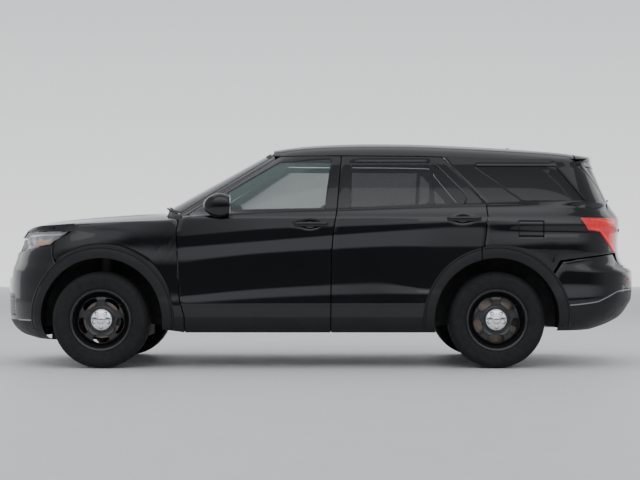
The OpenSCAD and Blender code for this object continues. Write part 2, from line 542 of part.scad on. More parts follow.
module quarter_shape() {
  sheet(quarter_grid(0), quarter_grid(-1), function(i, j)
    !(i >= 7 && i < 10 && j >= 3 && j < 9) && !(i == 2 && j >= 3 && j < 6) && !(i >= 2 && i < 4 && j >= 9));
}
// Pocket behind the fuel door, inside the opening.
module fuel_pocket() {
  y = side_y(fuel_x[1], 1050);
  fit_box([fuel_x[1] + 0.4, y - 70, 1000.4], [fuel_x[0] - 0.4, y - 16.5, 1127.6]);
}
module quarter_panel_left() {
  color(paint) {
    quarter_shape();
    fuel_pocket();
  }
}
module quarter_panel_right() { color(paint) mirror([0, 1, 0]) quarter_shape(); }
module quarter_glass() {
  color(glass_tint) both_sides()
    sheet(patch(quarter_grid(glass_in), 7, 10, 3, 9), patch(quarter_grid(glass_in + glass_t), 7, 10, 3, 9));
}
module tail_lamps() {
  color("#b3121c") both_sides() sheet(patch(quarter_grid(0), 2, 4, 9, 14), patch(quarter_grid(22), 2, 4, 9, 14));
}
fuel_door_t = 14;
function fuel_grid(d) = [for (z = [1000 + panel_gap, 1045, 1090, 1128 - panel_gap]) [for (s = [0, 0.5, 1])
  side_point(blend(fuel_x[0] - panel_gap, fuel_x[1] + panel_gap, s), z, d)]];
module fuel_door() { color(paint) sheet(fuel_grid(0), fuel_grid(fuel_door_t)); }

// Liftgate: lower panel, window frame, spoiler lip and the roof's rear edge. Columns: height, depth.
gate_rows = [[773, 60], [880, 60], [1000, 60], [1100, 60], [1156, 60], [1225, 60]];
gate_frame_rows = [[1266, 40], [1285, 40], [1372, 40], [1470, 40], [1560, 40], [1590, 40]];
gate_shares = [0, 0.3, 0.6, 0.86, 0.94, 1];
function gate_low_row(row, d) = full_row([for (s = gate_shares)
  let (z = row[0], p = end_point(-1, walk_to_y(s * gate_half, lower_half(z)), z, 0)) [p[0] + d, p[1], z]]);
function gate_frame_row(row, d) = full_row([for (s = gate_shares)
  let (z = row[0], p = cabin_point(-1, walk_to_y(s * gate_y(z), cabin_half(z)), z, 0))
    [p[0] + d * cos(90 * pow(s, 6)), p[1] - d * sin(90 * pow(s, 6)), z]]);
function gate_lip_row(x, z) = full_row([for (s = gate_shares) [x, s * 690, z - 18 * s * s]]);
function gate_roof_row(x, d) = full_row([for (s = gate_shares)
  let (e = rail(tail_x + 535) + panel_gap, half = cabin_y(tail_x + 535, e),
       z = roof_mid(x) - (roof_mid(x) - e) * (0.24 * s * s + 0.76 * pow(s, 10))) [x, s * (half - d), z - d]]);
gate_head_x = tail_x + 535 - half_gap;
function gate_grid(inside) = concat(
  [for (row = gate_rows) gate_low_row(row, inside ? row[1] : 0)],
  [for (row = gate_frame_rows) gate_frame_row(row, inside ? row[1] : 0)],
  [inside ? gate_lip_row(tail_x + 390, 1606) : gate_lip_row(tail_x + 318, 1640)],
  [gate_roof_row(inside ? tail_x + 420 : tail_x + 330, inside ? 26 : 0)],
  [gate_roof_row(tail_x + 450, inside ? 26 : 0)],
  [gate_roof_row(gate_head_x, inside ? 26 : 0)]);
function backwards(grid) = [for (row = grid) [for (k = [len(row) - 1:-1:0]) row[k]]];
module liftgate() {
  color(paint) sheet(backwards(gate_grid(false)), backwards(gate_grid(true)),
    function(i, j) !(i >= 7 && i < 10 && j >= 1 && j < 9));
}
function gate_glass_grid(d) = patch(backwards([for (row = gate_frame_rows) gate_frame_row(row, d)]), 1, 4, 1, 9);
module liftgate_glass() { color(glass_tint) sheet(gate_glass_grid(glass_in), gate_glass_grid(glass_in + glass_t)); }

// Bracket for a registration plate, with its four screw holes.
plate_pitch = [177.8, 120.65];
plate_hole_r = 3.5;
plate_h = 152;
module plate_bracket() {
  foot = fit([-tail_reach(886) - 11, 0, 965 - plate_h / 2]);
  color(trim) translate(foot + [0, 0, plate_h / 2]) difference() {
    translate([0, -plate_h, -plate_h / 2]) cube([9, 2 * plate_h, plate_h]);
    for (y = [-1, 1], z = [-1, 1]) translate([-1, y * plate_pitch[0] / 2, z * plate_pitch[1] / 2])
      rotate([0, 90, 0]) cylinder(r = plate_hole_r, h = 20);
  }
}

// Rear bumper cover below the liftgate.
tail_ys = [0, 220, 440, 590, gate_half + panel_gap + 4];
tail_zs = [285, 330, 390, 440, 520, 640];
gate_sill = 766;
function tail_walk(z) =
  let (a = walk_to_y(tail_ys[4], lower_half(z)), b = walk_to_x((arch_x(z) + half_gap - rx) / tail_reach(z), tail_round))
    concat([for (y = tail_ys) walk_to_y(y, lower_half(z))], [for (k = [1:8]) blend(a, b, k / 8)]);
tail_turns = [0, 3, 6, 9, 12, 20, 30, 42, 54, 66, 76, 84, 90];
function tail_row(z, d) = full_row([for (k = [0:12]) wrapped(-1, tail_walk(z)[k], z, d, tail_turns[k])]);
// Rows above the arch rise to the liftgate's sill and to the seam under quarter panel and lamp.
function seam_z(a, z) = quarter_low(end_point(-1, a, z, 0)[0]) - panel_gap - 4;
// Front tips of those rows. Columns: distance, height.
tail_tips = [[rx - 394, 640], [rx - 412, 690], [rx - 446, 730], [rx - 476, 772], [rx - 503, 812]];
function tail_high(n, d) =
  let (tip = tail_tips[n], from = tail_walk(640)[4], to = walk_to_x(-tip[0] / tail_reach(tip[1]), tail_round))
    full_row([for (k = [0:12])
      let (a = k <= 4 ? tail_walk(640)[k] : blend(from, to, (k - 4) / 8),
           top = k <= 4 ? gate_sill : seam_z(a, seam_z(a, seam_z(a, 800))))
        wrapped(-1, a, k == 12 ? tip[1] : blend(640, top, n / 4), d, tail_turns[k])]);
function tail_grid(d) = backwards(concat([for (z = tail_zs) tail_row(z, d)], [for (n = [1:4]) tail_high(n, d)]));
module rear_bumper() { color(paint) sheet(tail_grid(0), tail_grid(bumper_t)); }

// Flares that fill the band between an arch and its panels, standing proud of them.
function flare_grid(cx, angles, d) = turned([for (a = angles) [for (s = [0, 0.5, 0.97, 1])
  let (r = arch_r + flare_w * s, x = cx + r * cos(a), z = tyre_r + r * sin(a))
    side_point(x, z, d > 0 ? d : s == 1 ? 0 : -flare_h)]]);
module flare(cx, angles) { sheet(flare_grid(cx, angles, 0), flare_grid(cx, angles, skin)); }
front_angles = [for (k = [len(wing_edge) - 1:-1:0])
  let (p = wing_edge[k][0] - wing_centre, a = atan2(p[1], p[0])) a < 0 ? a + 360 : a];
rear_angles = [for (x = quarter_xs(low_row)) if (x > rx - 429 && x < rx + 90) acos((x - rx) / flare_r)];
module arch_flares() {
  color(trim) both_sides() {
    flare(fx, front_angles);
    flare(rx, concat(rear_angles, [acos(-429 / flare_r)]));
  }
}

// Cabin fittings.
seat_w = 520;
seat_outline = [
  [0, 0], [500, 30], [520, 90], [470, 130], [60, 100], [-110, 640], [-100, 800], [-170, 810], [-200, 640],
  [-70, 60]];
module front_seats() {
  color("#1d1e21") for (y = [-640, 120]) {
    fit_across(seat_outline, fx - 1580, 470, y, y + seat_w);
    fit_box([fx - 1540, y + 80, 358], [fx - 1180, y + 440, 476]);
  }
}
module rear_seat() {
  color("#1d1e21") union() {
    fit_across(seat_outline, rx + 600, 500, -620, 620);
    fit_box([rx + 560, -560, 470.3], [rx + 980, 560, 530.3]);
  }
}
dash_x = fx - 860;
dash_outline = [[0, 720], [-60, 860], [-50, 1060], [20, 1120], [190, 1110], [215, 720]];
module dashboard() {
  color("#1b1c1e") union() {
    fit_across(dash_outline, dash_x, 0, -700, 700);
    fit_box([dash_x - 520, -110, 470.3], [dash_x + 40, 110, 730.3]);
  }
}
wheel_off = [100, 0, 0];                    // from the dashboard's face back to the steering wheel
wheel_at = fit([dash_x - 50, 380, 1010]) - wheel_off;
column_tilt = 25;
module steering_wheel() {
  color("#18191b") translate(wheel_at) rotate([0, -90 + column_tilt, 0]) {
    rotate_extrude() translate([178, 0]) circle(r = 15);
    cylinder(r = 60, h = 40, center = true);
    for (a = [0, 120, 240]) rotate([0, 0, a + 90]) translate([50, -18, -8]) cube([125, 36, 16]);
    translate([0, 0, -95]) cylinder(r = 22, h = 90);
  }
}

// Engine and running gear.
module engine() {
  color("#55585c") fit_box([fx - 400, -320, 390.3], [fx + 300, 320, 960.3]);
}
kingpin_y = track / 2 - 75;
// Arm from the subframe out to a distance from the middle.
module arm(x, from, to, z, h) {
  low = fit([x - 60, from, z]);
  translate([low[0], low[1], z]) cube([120, to - low[1], h]);
}
module front_suspension() {
  color(steel) {
    fit_box([fx - 160, -470, 300], [fx + 160, 470, 390]);
    both_sides() {
      arm(fx, 396, kingpin_y + 20, 240, 34.95);
      fit_box([fx - 60, 380, 240], [fx + 60, 410, 360]);
      fit_at([fx, 590, 640]) cylinder(r = 62, h = 260);
      fit_box([fx - 70, 470.3, 862], [fx + 70, 660.3, 902]);
      fit_box([fx - 70, 470.3, 380], [fx + 70, 500.3, 902]);
      fit_box([fx - 70, 440, 340], [fx + 70, 500, 390]);
    }
  }
}
// Hub with the spigot that the wheel turns on; it reaches in from the wheel by l.
running_gap = 0.05;
module hub(x, l) {
  translate([x, track / 2 + disc_z - 30, tyre_r]) rotate([90, 0, 0]) cylinder(r = 52, h = l);
  translate([x, track / 2 + disc_z - 1, tyre_r]) rotate([90, 0, 0]) cylinder(r = bore_r - running_gap, h = 40);
}
module knuckle_shape() {
  translate([axle_f, kingpin_y, 275]) cylinder(r = 26, h = 170);
  hub(axle_f, 94);
  translate([axle_f - 130, kingpin_y - 14, tyre_r - 20]) cube([130, 28, 40]);
}
module knuckle_left() { color(steel) knuckle_shape(); }
module knuckle_right() { color(steel) mirror([0, 1, 0]) knuckle_shape(); }
module rear_suspension() {
  color(steel) {
    fit_box([rx - 200, -470, 300], [rx + 200, 470, 399.7]);
    both_sides() {
      arm(rx, 380, track / 2 - 95, 300, 40);
      hub(axle_r, 140);
      translate([axle_r - 50, track / 2 - 124, 300]) cube([100, 60, 110]);
    }
  }
}
module exhaust() {
  color("#6b6d70") {
    for (y = [-300, 300]) fit_at([tail_x + 380, y, 345]) rotate([0, 90, 0]) cylinder(r = 34, h = 300);
    fit_box([tail_x + 560, -340, 290], [tail_x + 780, 340, 399.7]);
  }
}

// Tyre, steel wheel and cap, drawn about +Z with the outer face up.
module tyre_solid() {
  half = tyre_w / 2;
  bead = rim_d / 2;
  rotate_extrude() polygon([
    [bead, -rim_w / 2 + 12], [bead + 24, -rim_w / 2 - 8], [tyre_r - 62, -half], [tyre_r - 24, -half + 12],
    [tyre_r - 7, -half + 26], [tyre_r, -half + 52], [tyre_r, half - 52], [tyre_r - 7, half - 26],
    [tyre_r - 24, half - 12], [tyre_r - 62, half], [bead + 24, rim_w / 2 + 8], [bead, rim_w / 2 - 12]]);
}
// Rim: a barrel with bead seats and a pressed disc with five openings and the stud holes.
disc_z = 48;
slot_r = 146;
bore_r = 34;
module slot() {
  for (a = [-34, 34]) translate([slot_r, a, 0]) cylinder(r = 30, h = 120);
  translate([slot_r - 30, -34, 0]) cube([60, 68, 120]);
}
module wheel_solid() {
  bead = rim_d / 2;
  edge = rim_w / 2;
  difference() {
    union() {
      rotate_extrude() polygon([
        [bead - 14, 8 - edge], [bead - 14, edge - 8], [bead - 5, edge], [bead + 8, edge], [bead + 8, edge - 3],
        [bead, edge - 12], [bead, 12 - edge], [bead + 8, 3 - edge], [bead + 8, -edge], [bead - 5, -edge]]);
      rotate_extrude() polygon([
        [bore_r, disc_z - 28], [bore_r, disc_z], [92, disc_z], [112, disc_z + 16], [176, disc_z + 16],
        [194, disc_z - 8], [bead - 8, disc_z - 18], [bead - 8, disc_z - 32], [188, disc_z - 24],
        [170, disc_z], [112, disc_z], [96, disc_z - 28]]);
    }
    for (k = [0:4]) rotate([0, 0, 72 * k + 18]) slot();
    for (k = [0:4]) rotate([0, 0, 72 * k + 54]) translate([wheel_pcd / 2, 0, 0]) cylinder(r = 7.5, h = 120);
  }
}
module cap_solid() {
  translate([0, 0, disc_z]) rotate_extrude() polygon([
    [0, 0], [cap_d / 2, 0], [cap_d / 2, 8], [cap_d / 2 - 8, 20], [cap_d / 2 - 30, 30], [34, 35], [30, 42], [0, 45]]);
}
module at_wheel(x, side) {
  translate([x, side * track / 2, tyre_r]) rotate([-90 * side, 0, 0]) children();
}
module tyre_front_left() { color("#141414") at_wheel(axle_f, 1) tyre_solid(); }
module tyre_front_right() { color("#141414") at_wheel(axle_f, -1) tyre_solid(); }
module tyre_rear_left() { color("#141414") at_wheel(axle_r, 1) tyre_solid(); }
module tyre_rear_right() { color("#141414") at_wheel(axle_r, -1) tyre_solid(); }
module wheel_front_left() { color("#0d0d0e") at_wheel(axle_f, 1) wheel_solid(); }
module wheel_front_right() { color("#0d0d0e") at_wheel(axle_f, -1) wheel_solid(); }
module wheel_rear_left() { color("#0d0d0e") at_wheel(axle_r, 1) wheel_solid(); }
module wheel_rear_right() { color("#0d0d0e") at_wheel(axle_r, -1) wheel_solid(); }
module cap_front_left() { color(chrome) at_wheel(axle_f, 1) cap_solid(); }
module cap_front_right() { color(chrome) at_wheel(axle_f, -1) cap_solid(); }
module cap_rear_left() { color(chrome) at_wheel(axle_r, 1) cap_solid(); }
module cap_rear_right() { color(chrome) at_wheel(axle_r, -1) cap_solid(); }

floor_pan();
a_pillars();
b_pillars();
sills();
quarter_panel_left();
quarter_panel_right();
roof();
fender_left();
fender_right();
front_bumper();
grille();
headlamps();
windscreen();
cowl();
wipers();
rear_bumper();
tail_lamps();
quarter_glass();
arch_flares();
dashboard();
front_seats();
rear_seat();
engine();
front_suspension();
rear_suspension();
exhaust();
roof_antenna();
hood();
door_front_left();
door_front_right();
door_rear_left();
door_rear_right();
glass_front_left();
glass_front_right();
glass_rear_left();
glass_rear_right();
mirror_left();
mirror_right();
liftgate();
liftgate_glass();
plate_bracket();
fuel_door();
steering_wheel();
knuckle_left();
knuckle_right();
tyre_front_left();
tyre_front_right();
tyre_rear_left();
tyre_rear_right();
wheel_front_left();
wheel_front_right();
wheel_rear_left();
wheel_rear_right();
cap_front_left();
cap_front_right();
cap_rear_left();
cap_rear_right();
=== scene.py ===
import bisect
from math import acos, asin, atan2, copysign, cos, degrees, exp, hypot, pi, radians, sin, sqrt
import bmesh
import bpy
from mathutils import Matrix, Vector


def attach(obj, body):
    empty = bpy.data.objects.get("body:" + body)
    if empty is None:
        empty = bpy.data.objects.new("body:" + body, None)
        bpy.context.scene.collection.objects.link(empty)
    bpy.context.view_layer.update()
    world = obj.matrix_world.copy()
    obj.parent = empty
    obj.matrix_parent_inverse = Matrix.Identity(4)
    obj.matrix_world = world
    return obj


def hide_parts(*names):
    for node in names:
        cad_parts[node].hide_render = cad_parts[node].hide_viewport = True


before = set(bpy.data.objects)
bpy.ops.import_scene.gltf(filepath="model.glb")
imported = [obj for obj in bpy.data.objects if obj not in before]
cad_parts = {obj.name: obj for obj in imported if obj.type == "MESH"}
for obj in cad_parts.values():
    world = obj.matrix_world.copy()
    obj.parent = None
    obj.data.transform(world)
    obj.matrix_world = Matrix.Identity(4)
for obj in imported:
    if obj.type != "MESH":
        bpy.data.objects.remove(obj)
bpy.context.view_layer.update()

# ---------------------------------------------------------------- body surfaces, in millimetres
# X runs forward, Y to the left, Z up. The axles are at FX and RX, and the doors of a side meet at BX.
FX, RX, BX = 1675.0, -1350.0, -82.0
NOSE, TAIL, HALF, TYRE_R = 2525.0, -2525.0, 1000.0, 370.0
BELT, RAIL, SILL, GAP = 1180.0, 1634.0, 272.0, 3.5
MID_X = FX - 2275
WHEEL_Y, ARCH_R, FLARE_R = 845.0, 472.0, 564.6
CLAD, DOOR_HIP, HEADER = 395, 827, 1591  # top of the cladding, rear door's end at the arch, window heads
HOOD_HALF, HOOD_Z = 835, 1040


def lin(table):
    """Function that runs straight from point to point, and level past the ends."""
    xs = [r[0] for r in table]
    ys = [r[1] for r in table]

    def f(x):
        if x <= xs[0]:
            return ys[0]
        if x >= xs[-1]:
            return ys[-1]
        k = bisect.bisect_right(xs, x) - 1
        return ys[k] + (ys[k + 1] - ys[k]) * (x - xs[k]) / (xs[k + 1] - xs[k])
    return f


def smooth(table):
    """The same on a smooth curve that doesn't overshoot its points."""
    xs = [float(r[0]) for r in table]
    ys = [float(r[1]) for r in table]
    n = len(xs)
    h = [xs[k + 1] - xs[k] for k in range(n - 1)]
    s = [(ys[k + 1] - ys[k]) / h[k] for k in range(n - 1)]
    m = [s[0]] + [0.0] * (n - 2) + [s[-1]]
    for k in range(1, n - 1):
        if s[k - 1] * s[k] > 0:
            a, b = 2 * h[k] + h[k - 1], h[k] + 2 * h[k - 1]
            m[k] = (a + b) / (a / s[k - 1] + b / s[k])

    def f(x):
        if x <= xs[0]:
            return ys[0]
        if x >= xs[-1]:
            return ys[-1]
        k = bisect.bisect_right(xs, x) - 1
        t = (x - xs[k]) / h[k]
        return (ys[k] * (1 + 2 * t) * (1 - t) ** 2 + h[k] * m[k] * t * (1 - t) ** 2
                + ys[k + 1] * t * t * (3 - 2 * t) + h[k] * m[k + 1] * t * t * (t - 1))
    return f


LOWER = [
    (205, 200, 215, 640), (240, 140, 110, 480), (280, 92, 60, 340), (330, 45, 25, 200), (390, 17, 3, 100),
    (480, 2, 0, 35), (520, 0, 0, 14), (640, 17, 0, 2), (735, 19, 8, 0), (765, 19, 14, 30), (800, 18, 30, 82),
    (890, 12, 58, 112), (930, 10, 75, 116), (1000, 16, 95, 114), (1045, 24, 125, 110), (1095, 17, 170, 104),
    (1150, 30, 300, 106), (1190, 45, 420, 125), (1262, 62, 700, 190)]
side_inset = smooth([(r[0], r[1]) for r in LOWER])
nose_set = smooth([(r[0], r[2]) for r in LOWER])
tail_set = smooth([(r[0], r[3]) for r in LOWER])
cabin_inset = smooth([(1100, 24), (1190, 50), (1300, 90), (1420, 142), (1540, 200), (1640, 255), (1830, 365)])
belt = smooth([
    (TAIL, 1255), (TAIL + 195, 1250), (RX + 270, 1228), (FX - 1800, 1196), (FX - 1030, 1180), (FX - 612, 1151),
    (FX - 535, 1143), (FX - 175, 1128), (FX + 375, 1098), (FX + 525, 1080), (FX + 625, 1050), (FX + 725, 1000),
    (NOSE, 960)])
crown = smooth([(FX - 900, 0), (FX - 535, 81), (FX - 175, 70), (FX + 375, 46), (FX + 575, 28), (NOSE - 60, 0)])
rail = smooth([(TAIL + 535, 1610), (RX - 200, 1604), (RX + 640, 1630), (BX, 1634), (FX, 1634)])
roof_drop = smooth([
    (RX - 1150, 160), (RX - 850, 114), (RX - 350, 58), (RX + 250, 18), (RX + 750, 1), (FX - 2050, 0),
    (FX - 1840, 5), (FX - 1575, 20), (FX - 1470, 31), (FX - 1380, 43), (FX - 1332, 51), (FX - 1300, 57),
    (FX - 1100, 100)])


def blend(a, b, t):
    return a + (b - a) * t


def clamp(v, a=0.0, b=1.0):
    return max(a, min(b, v))


def screen_x(z):
    return FX - 445 - (z - 1240) * 1.815


def rear_x(z):
    return TAIL + 195 + (z - 1266) * 0.395


def lower_half(z):
    return HALF - side_inset(z)


def cabin_half(z):
    return HALF - cabin_inset(z)


def nose_reach(z):
    return NOSE - nose_set(z)


def tail_reach(z):
    return -TAIL - tail_set(z)


def flank(share, p):
    return (1 - min(share, 1.0) ** p) ** (1 / 2.2)


CREASES = [(smooth(t), inset) for t, inset in (
    ([(-800, 575), (-107, 561), (1060, 509)], 4),
    ([(-800, 600), (-419, 655), (-107, 641), (465, 606), (1060, 546)], 11),
    ([(-870, 926), (-625, 932), (-107, 913), (465, 879), (1075, 812)], 14),
    ([(-980, 1077), (-107, 1015), (465, 968), (1090, 920)], 23.5),
    ([(-980, 1121), (-107, 1083), (274, 1071), (1090, 1003)], 24))]


def side_half(x, z):
    """Half width with the sloping creases of the doors, which fade out towards both ends."""
    w = clamp((x + 1750) / 500) * clamp((1950 - x) / 500)
    if w <= 0 or z <= 480 or z >= 1150:
        return lower_half(z)
    creased = lin([(480, 2)] + [(f(x), inset) for f, inset in CREASES] + [(1150, 30)])
    return HALF - blend(side_inset(z), creased(z), w)


def lower_y(x, z):
    return side_half(x, z) * (flank(x / nose_reach(z), 8) if x >= 0 else flank(-x / tail_reach(z), 12))


def cabin_y(x, z):
    return cabin_half(z) * (flank((x - MID_X) / (screen_x(z) - MID_X), 7) if x >= MID_X
                            else flank((MID_X - x) / (MID_X - rear_x(z)), 13))


def side_y(x, z):
    t = clamp((z - belt(x)) / 26)
    return blend(lower_y(x, z), cabin_y(x, z), t * t * (3 - 2 * t)) if t > 0 else lower_y(x, z)


def side_point(x, z, d):
    return (x, side_y(x, z) - d, z)


def deck_z(x, y):
    return belt(x) + crown(x) * (1 - min(abs(y) / HOOD_HALF, 1.1) ** 2.2)


def walk_to_y(y, half):
    return asin(min(1, (abs(y) / half) ** 1.1))


def walk_to_x(share, p):
    return acos(min(1, max(share, 0) ** (p / 2)))


def end_point(way, a, z, d=0.0):
    reach, half = (nose_reach(z) if way > 0 else tail_reach(z)), lower_half(z)
    x = reach * max(cos(a), 0) ** (2 / (8 if way > 0 else 12))
    y = half * max(sin(a), 0) ** (2 / 2.2)
    return (way * x * (1 - d / reach), y * (1 - d / half), z)


def wrapped(way, a, z, d, turn):
    p = end_point(way, a, z)
    return (p[0] - d * way * cos(radians(turn)), p[1] - d * sin(radians(turn)), z)


def cabin_point(way, a, z, d=0.0):
    reach, half = (screen_x(z) - MID_X if way > 0 else MID_X - rear_x(z)), cabin_half(z)
    x = reach * max(cos(a), 0) ** (2 / (7 if way > 0 else 13))
    y = half * max(sin(a), 0) ** (2 / 2.2)
    return (MID_X + way * x * (1 - d / reach), y * (1 - d / half), z)


def roof_mid(x):
    return 1763 - roof_drop(x)


# ---------------------------------------------------------------- materials
def put(node, **values):
    """Set sockets of a node by name, with _ for each space."""
    for key, value in values.items():
        node.inputs[key.replace("_", " ")].default_value = value
    return node


def material(name, colour, rough, metal=0.0, coat=0.0, grain=300.0, bump=0.1, vary=0.12, alpha=1.0, spec=0.5,
             patch=2.5, emission=0.0, sheen=0.0, slanted=1.0):
    """Material with patches of shade and roughness and a fine grain; glass grows from alpha to slanted at a slant."""
    m = bpy.data.materials.new(name)
    m.use_nodes = True
    t = m.node_tree
    b = t.nodes["Principled BSDF"]
    at = t.nodes.new("ShaderNodeTexCoord").outputs["Object"]

    def node(kind, **values):
        return put(t.nodes.new("ShaderNode" + kind), **values)

    def noise(scale, detail):
        n = node("TexNoise", Scale=scale, Detail=detail)
        t.links.new(at, n.inputs["Vector"])
        return n.outputs["Fac"]
    ramp = node("ValToRGB")
    for stop, place, share in zip(ramp.color_ramp.elements, (0.3, 0.7), (1 - vary, 1 + vary)):
        stop.position = place
        stop.color = [min(1, c * share) for c in colour] + [1]
    t.links.new(noise(patch, 3.0), ramp.inputs["Fac"])
    t.links.new(ramp.outputs["Color"], b.inputs["Base Color"])
    span = node("MapRange", From_Min=0.3, From_Max=0.7, To_Min=rough * 0.85, To_Max=min(1, rough * 1.15))
    t.links.new(noise(patch * 3, 4.0), span.inputs["Value"])
    t.links.new(span.outputs["Result"], b.inputs["Roughness"])
    if bump:
        n = node("Bump", Strength=bump, Distance=0.0006)
        t.links.new(noise(grain, 2.0), n.inputs["Height"])
        t.links.new(n.outputs["Normal"], b.inputs["Normal"])
    put(b, Metallic=metal, Coat_Weight=coat, Coat_Roughness=0.03, Alpha=alpha, Specular_IOR_Level=spec)
    if alpha < 1:
        slant = node("Fresnel", IOR=1.5)
        clear = node("MapRange", From_Min=0.04, From_Max=0.5, To_Min=alpha, To_Max=slanted)
        t.links.new(slant.outputs["Fac"], clear.inputs["Value"])
        t.links.new(clear.outputs["Result"], b.inputs["Alpha"])
    if sheen:
        put(b, Sheen_Weight=sheen)
    if emission:
        put(b, Emission_Color=list(colour) + [1], Emission_Strength=emission)
    return m


PAINT = material("black_paint", (0.0022, 0.0022, 0.0026), 0.22, coat=0.9, grain=900, bump=0.02, patch=1.2, spec=0.12)
GLOSS = material("gloss_black_trim", (0.004, 0.004, 0.0045), 0.10, coat=0.6, grain=700, bump=0.015)
TRIM = material("dark_trim", (0.011, 0.0112, 0.0118), 0.48, grain=900, bump=0.35, patch=6, spec=0.3)
SATIN = material("satin_trim", (0.009, 0.009, 0.010), 0.33, grain=1200, bump=0.2, patch=5)
SEAL = material("rubber_seal", (0.006, 0.006, 0.006), 0.6, grain=600, bump=0.3)
CLEAR = material("clear_glass", (0.13, 0.175, 0.165), 0.03, alpha=0.40, bump=0, vary=0.05, spec=0.6)
PRIVACY = material("privacy_glass", (0.006, 0.0075, 0.0075), 0.03, alpha=0.86, bump=0, vary=0.1, spec=0.6)
DOORGLASS = material("rear_door_glass", (0.020, 0.022, 0.024), 0.03, alpha=0.60, bump=0, vary=0.1, spec=0.6)
SCREEN = material("screen_glass", (0.06, 0.08, 0.075), 0.03, alpha=0.45, bump=0, vary=0.05, spec=0.6)
UNDER = material("underbody", (0.012, 0.012, 0.013), 0.75, grain=250, bump=0.5, patch=5)
CAST = material("cast_parts", (0.045, 0.045, 0.047), 0.55, metal=0.7, grain=350, bump=0.5, patch=8)
STEEL = material("exhaust_steel", (0.42, 0.41, 0.39), 0.32, metal=1.0, grain=250, bump=0.1, patch=9, vary=0.25)
CABIN = material("cabin_trim", (0.016, 0.016, 0.017), 0.62, grain=700, bump=0.5, patch=5)
RUBBER = material("tyre_rubber", (0.008, 0.008, 0.0083), 0.68, spec=0.3, grain=500, bump=0.4, patch=9, vary=0.2)
WHEEL = material("wheel_black", (0.0075, 0.0075, 0.008), 0.30, coat=0.3, grain=700, bump=0.08, patch=9)
CHROME = material("cap_chrome", (0.80, 0.81, 0.83), 0.09, metal=1.0, grain=300, bump=0.01, vary=0.03, patch=20)
BRIGHT = material("bright_trim", (0.40, 0.41, 0.42), 0.30, metal=1.0, grain=800, bump=0.05, vary=0.06)
LENS = material("lamp_clear", (0.75, 0.78, 0.80), 0.04, alpha=0.10, slanted=0.3, bump=0, vary=0.03, spec=0.6)
RED = material("lamp_red", (0.60, 0.010, 0.014), 0.16, coat=0.4, grain=140, bump=0.06, patch=30, vary=0.2,
               emission=0.34)
GLOW = material("lamp_red_glow", (0.85, 0.03, 0.03), 0.2, coat=0.3, grain=160, bump=0.02, patch=30, emission=0.6)
AMBER = material("lamp_amber", (0.62, 0.20, 0.02), 0.15, coat=0.6, grain=150, bump=0.3, patch=40)
REFLECT = material("lamp_reflector", (0.72, 0.73, 0.75), 0.22, metal=1.0, grain=120, bump=0.03)
MIRROR = material("mirror_glass", (0.55, 0.58, 0.60), 0.03, metal=1.0, bump=0, vary=0.02)


# ---------------------------------------------------------------- building pieces
def add(name, data):
    """New object in the scene."""
    o = bpy.data.objects.new(name, data)
    bpy.context.scene.collection.objects.link(o)
    return o


def piece(name, points, faces, mat, body, nodes=(), bevel=0.0, flip=False, sharp=38.0, more=(), zone=None):
    """Mesh piece from millimetre points; flip mirrors it to the right side, and zone picks from mat and more."""
    s = -1 if flip else 1
    mesh = bpy.data.meshes.new(name)
    mesh.from_pydata([(p[0] / 1000, s * p[1] / 1000, p[2] / 1000) for p in points], [], faces)
    bm = bmesh.new()
    bm.from_mesh(mesh)
    bmesh.ops.remove_doubles(bm, verts=bm.verts, dist=1e-5)
    bmesh.ops.recalc_face_normals(bm, faces=bm.faces)
    if bevel:
        least = radians(sharp + 17)
        edges = [e for e in bm.edges if len(e.link_faces) == 2 and e.calc_face_angle(0) > least]
        bmesh.ops.bevel(bm, geom=edges, offset=bevel / 1000, segments=2, profile=0.5, affect="EDGES",
                        clamp_overlap=True)
    if zone:
        for face in bm.faces:
            face.material_index = zone(*[1000 * v for v in face.calc_center_median()])
    bm.to_mesh(mesh)
    bm.free()
    for m in (mat, *more):
        mesh.materials.append(m)
    mesh.shade_smooth()
    mesh.set_sharp_from_angle(angle=radians(sharp))
    o = add(name, mesh)
    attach(o, body)
    if nodes:
        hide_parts(*nodes)
    return o


SIDES = (("left", False), ("right", True))


def pair(name, shape, mat, body, nodes=(), bevel=0.0, **more):
    """The same piece on both sides, with {} in its names for the side."""
    for side, flip in SIDES:
        piece(name.format(side), *shape, mat, body.format(side), [n.format(side) for n in nodes], bevel, flip, **more)


def sheet(outer, inner, keep=None):
    """Points and faces of a thick sheet through two equal grids, without the cells that keep leaves out."""
    m, n = len(outer), len(outer[0])
    points = [p for row in outer for p in row] + [p for row in inner for p in row]
    back = m * n
    kept = [[keep is None or keep(i, j) for j in range(n - 1)] for i in range(m - 1)]

    def has(i, j):
        return 0 <= i < m - 1 and 0 <= j < n - 1 and kept[i][j]
    faces = []
    for i in range(m - 1):
        for j in range(n - 1):
            if not kept[i][j]:
                continue
            a, b, c, d = i * n + j, i * n + j + 1, (i + 1) * n + j + 1, (i + 1) * n + j
            faces.append((a, b, c, d))
            faces.append((back + d, back + c, back + b, back + a))
            if not has(i - 1, j):
                faces.append((a, back + a, back + b, b))
            if not has(i + 1, j):
                faces.append((d, c, back + c, back + d))
            if not has(i, j - 1):
                faces.append((a, d, back + d, back + a))
            if not has(i, j + 1):
                faces.append((b, back + b, back + c, c))
    return points, faces


def steps(n, k):
    """Positions 0..n with k parts in each unit; k may be a list."""
    out = []
    for i in range(n):
        q = k[i] if isinstance(k, (list, tuple)) else k
        out += [i + s / q for s in range(q)]
    return out + [float(n)]


def mix(a, b, t):
    """Point between two points."""
    return tuple(blend(p, q, t) for p, q in zip(a, b))


def along(values, t):
    """Number or point at place t of a list."""
    i = min(int(t), len(values) - 2)
    a, b = values[i], values[i + 1]
    return mix(a, b, t - i) if isinstance(a, (tuple, list)) else blend(a, b, t - i)


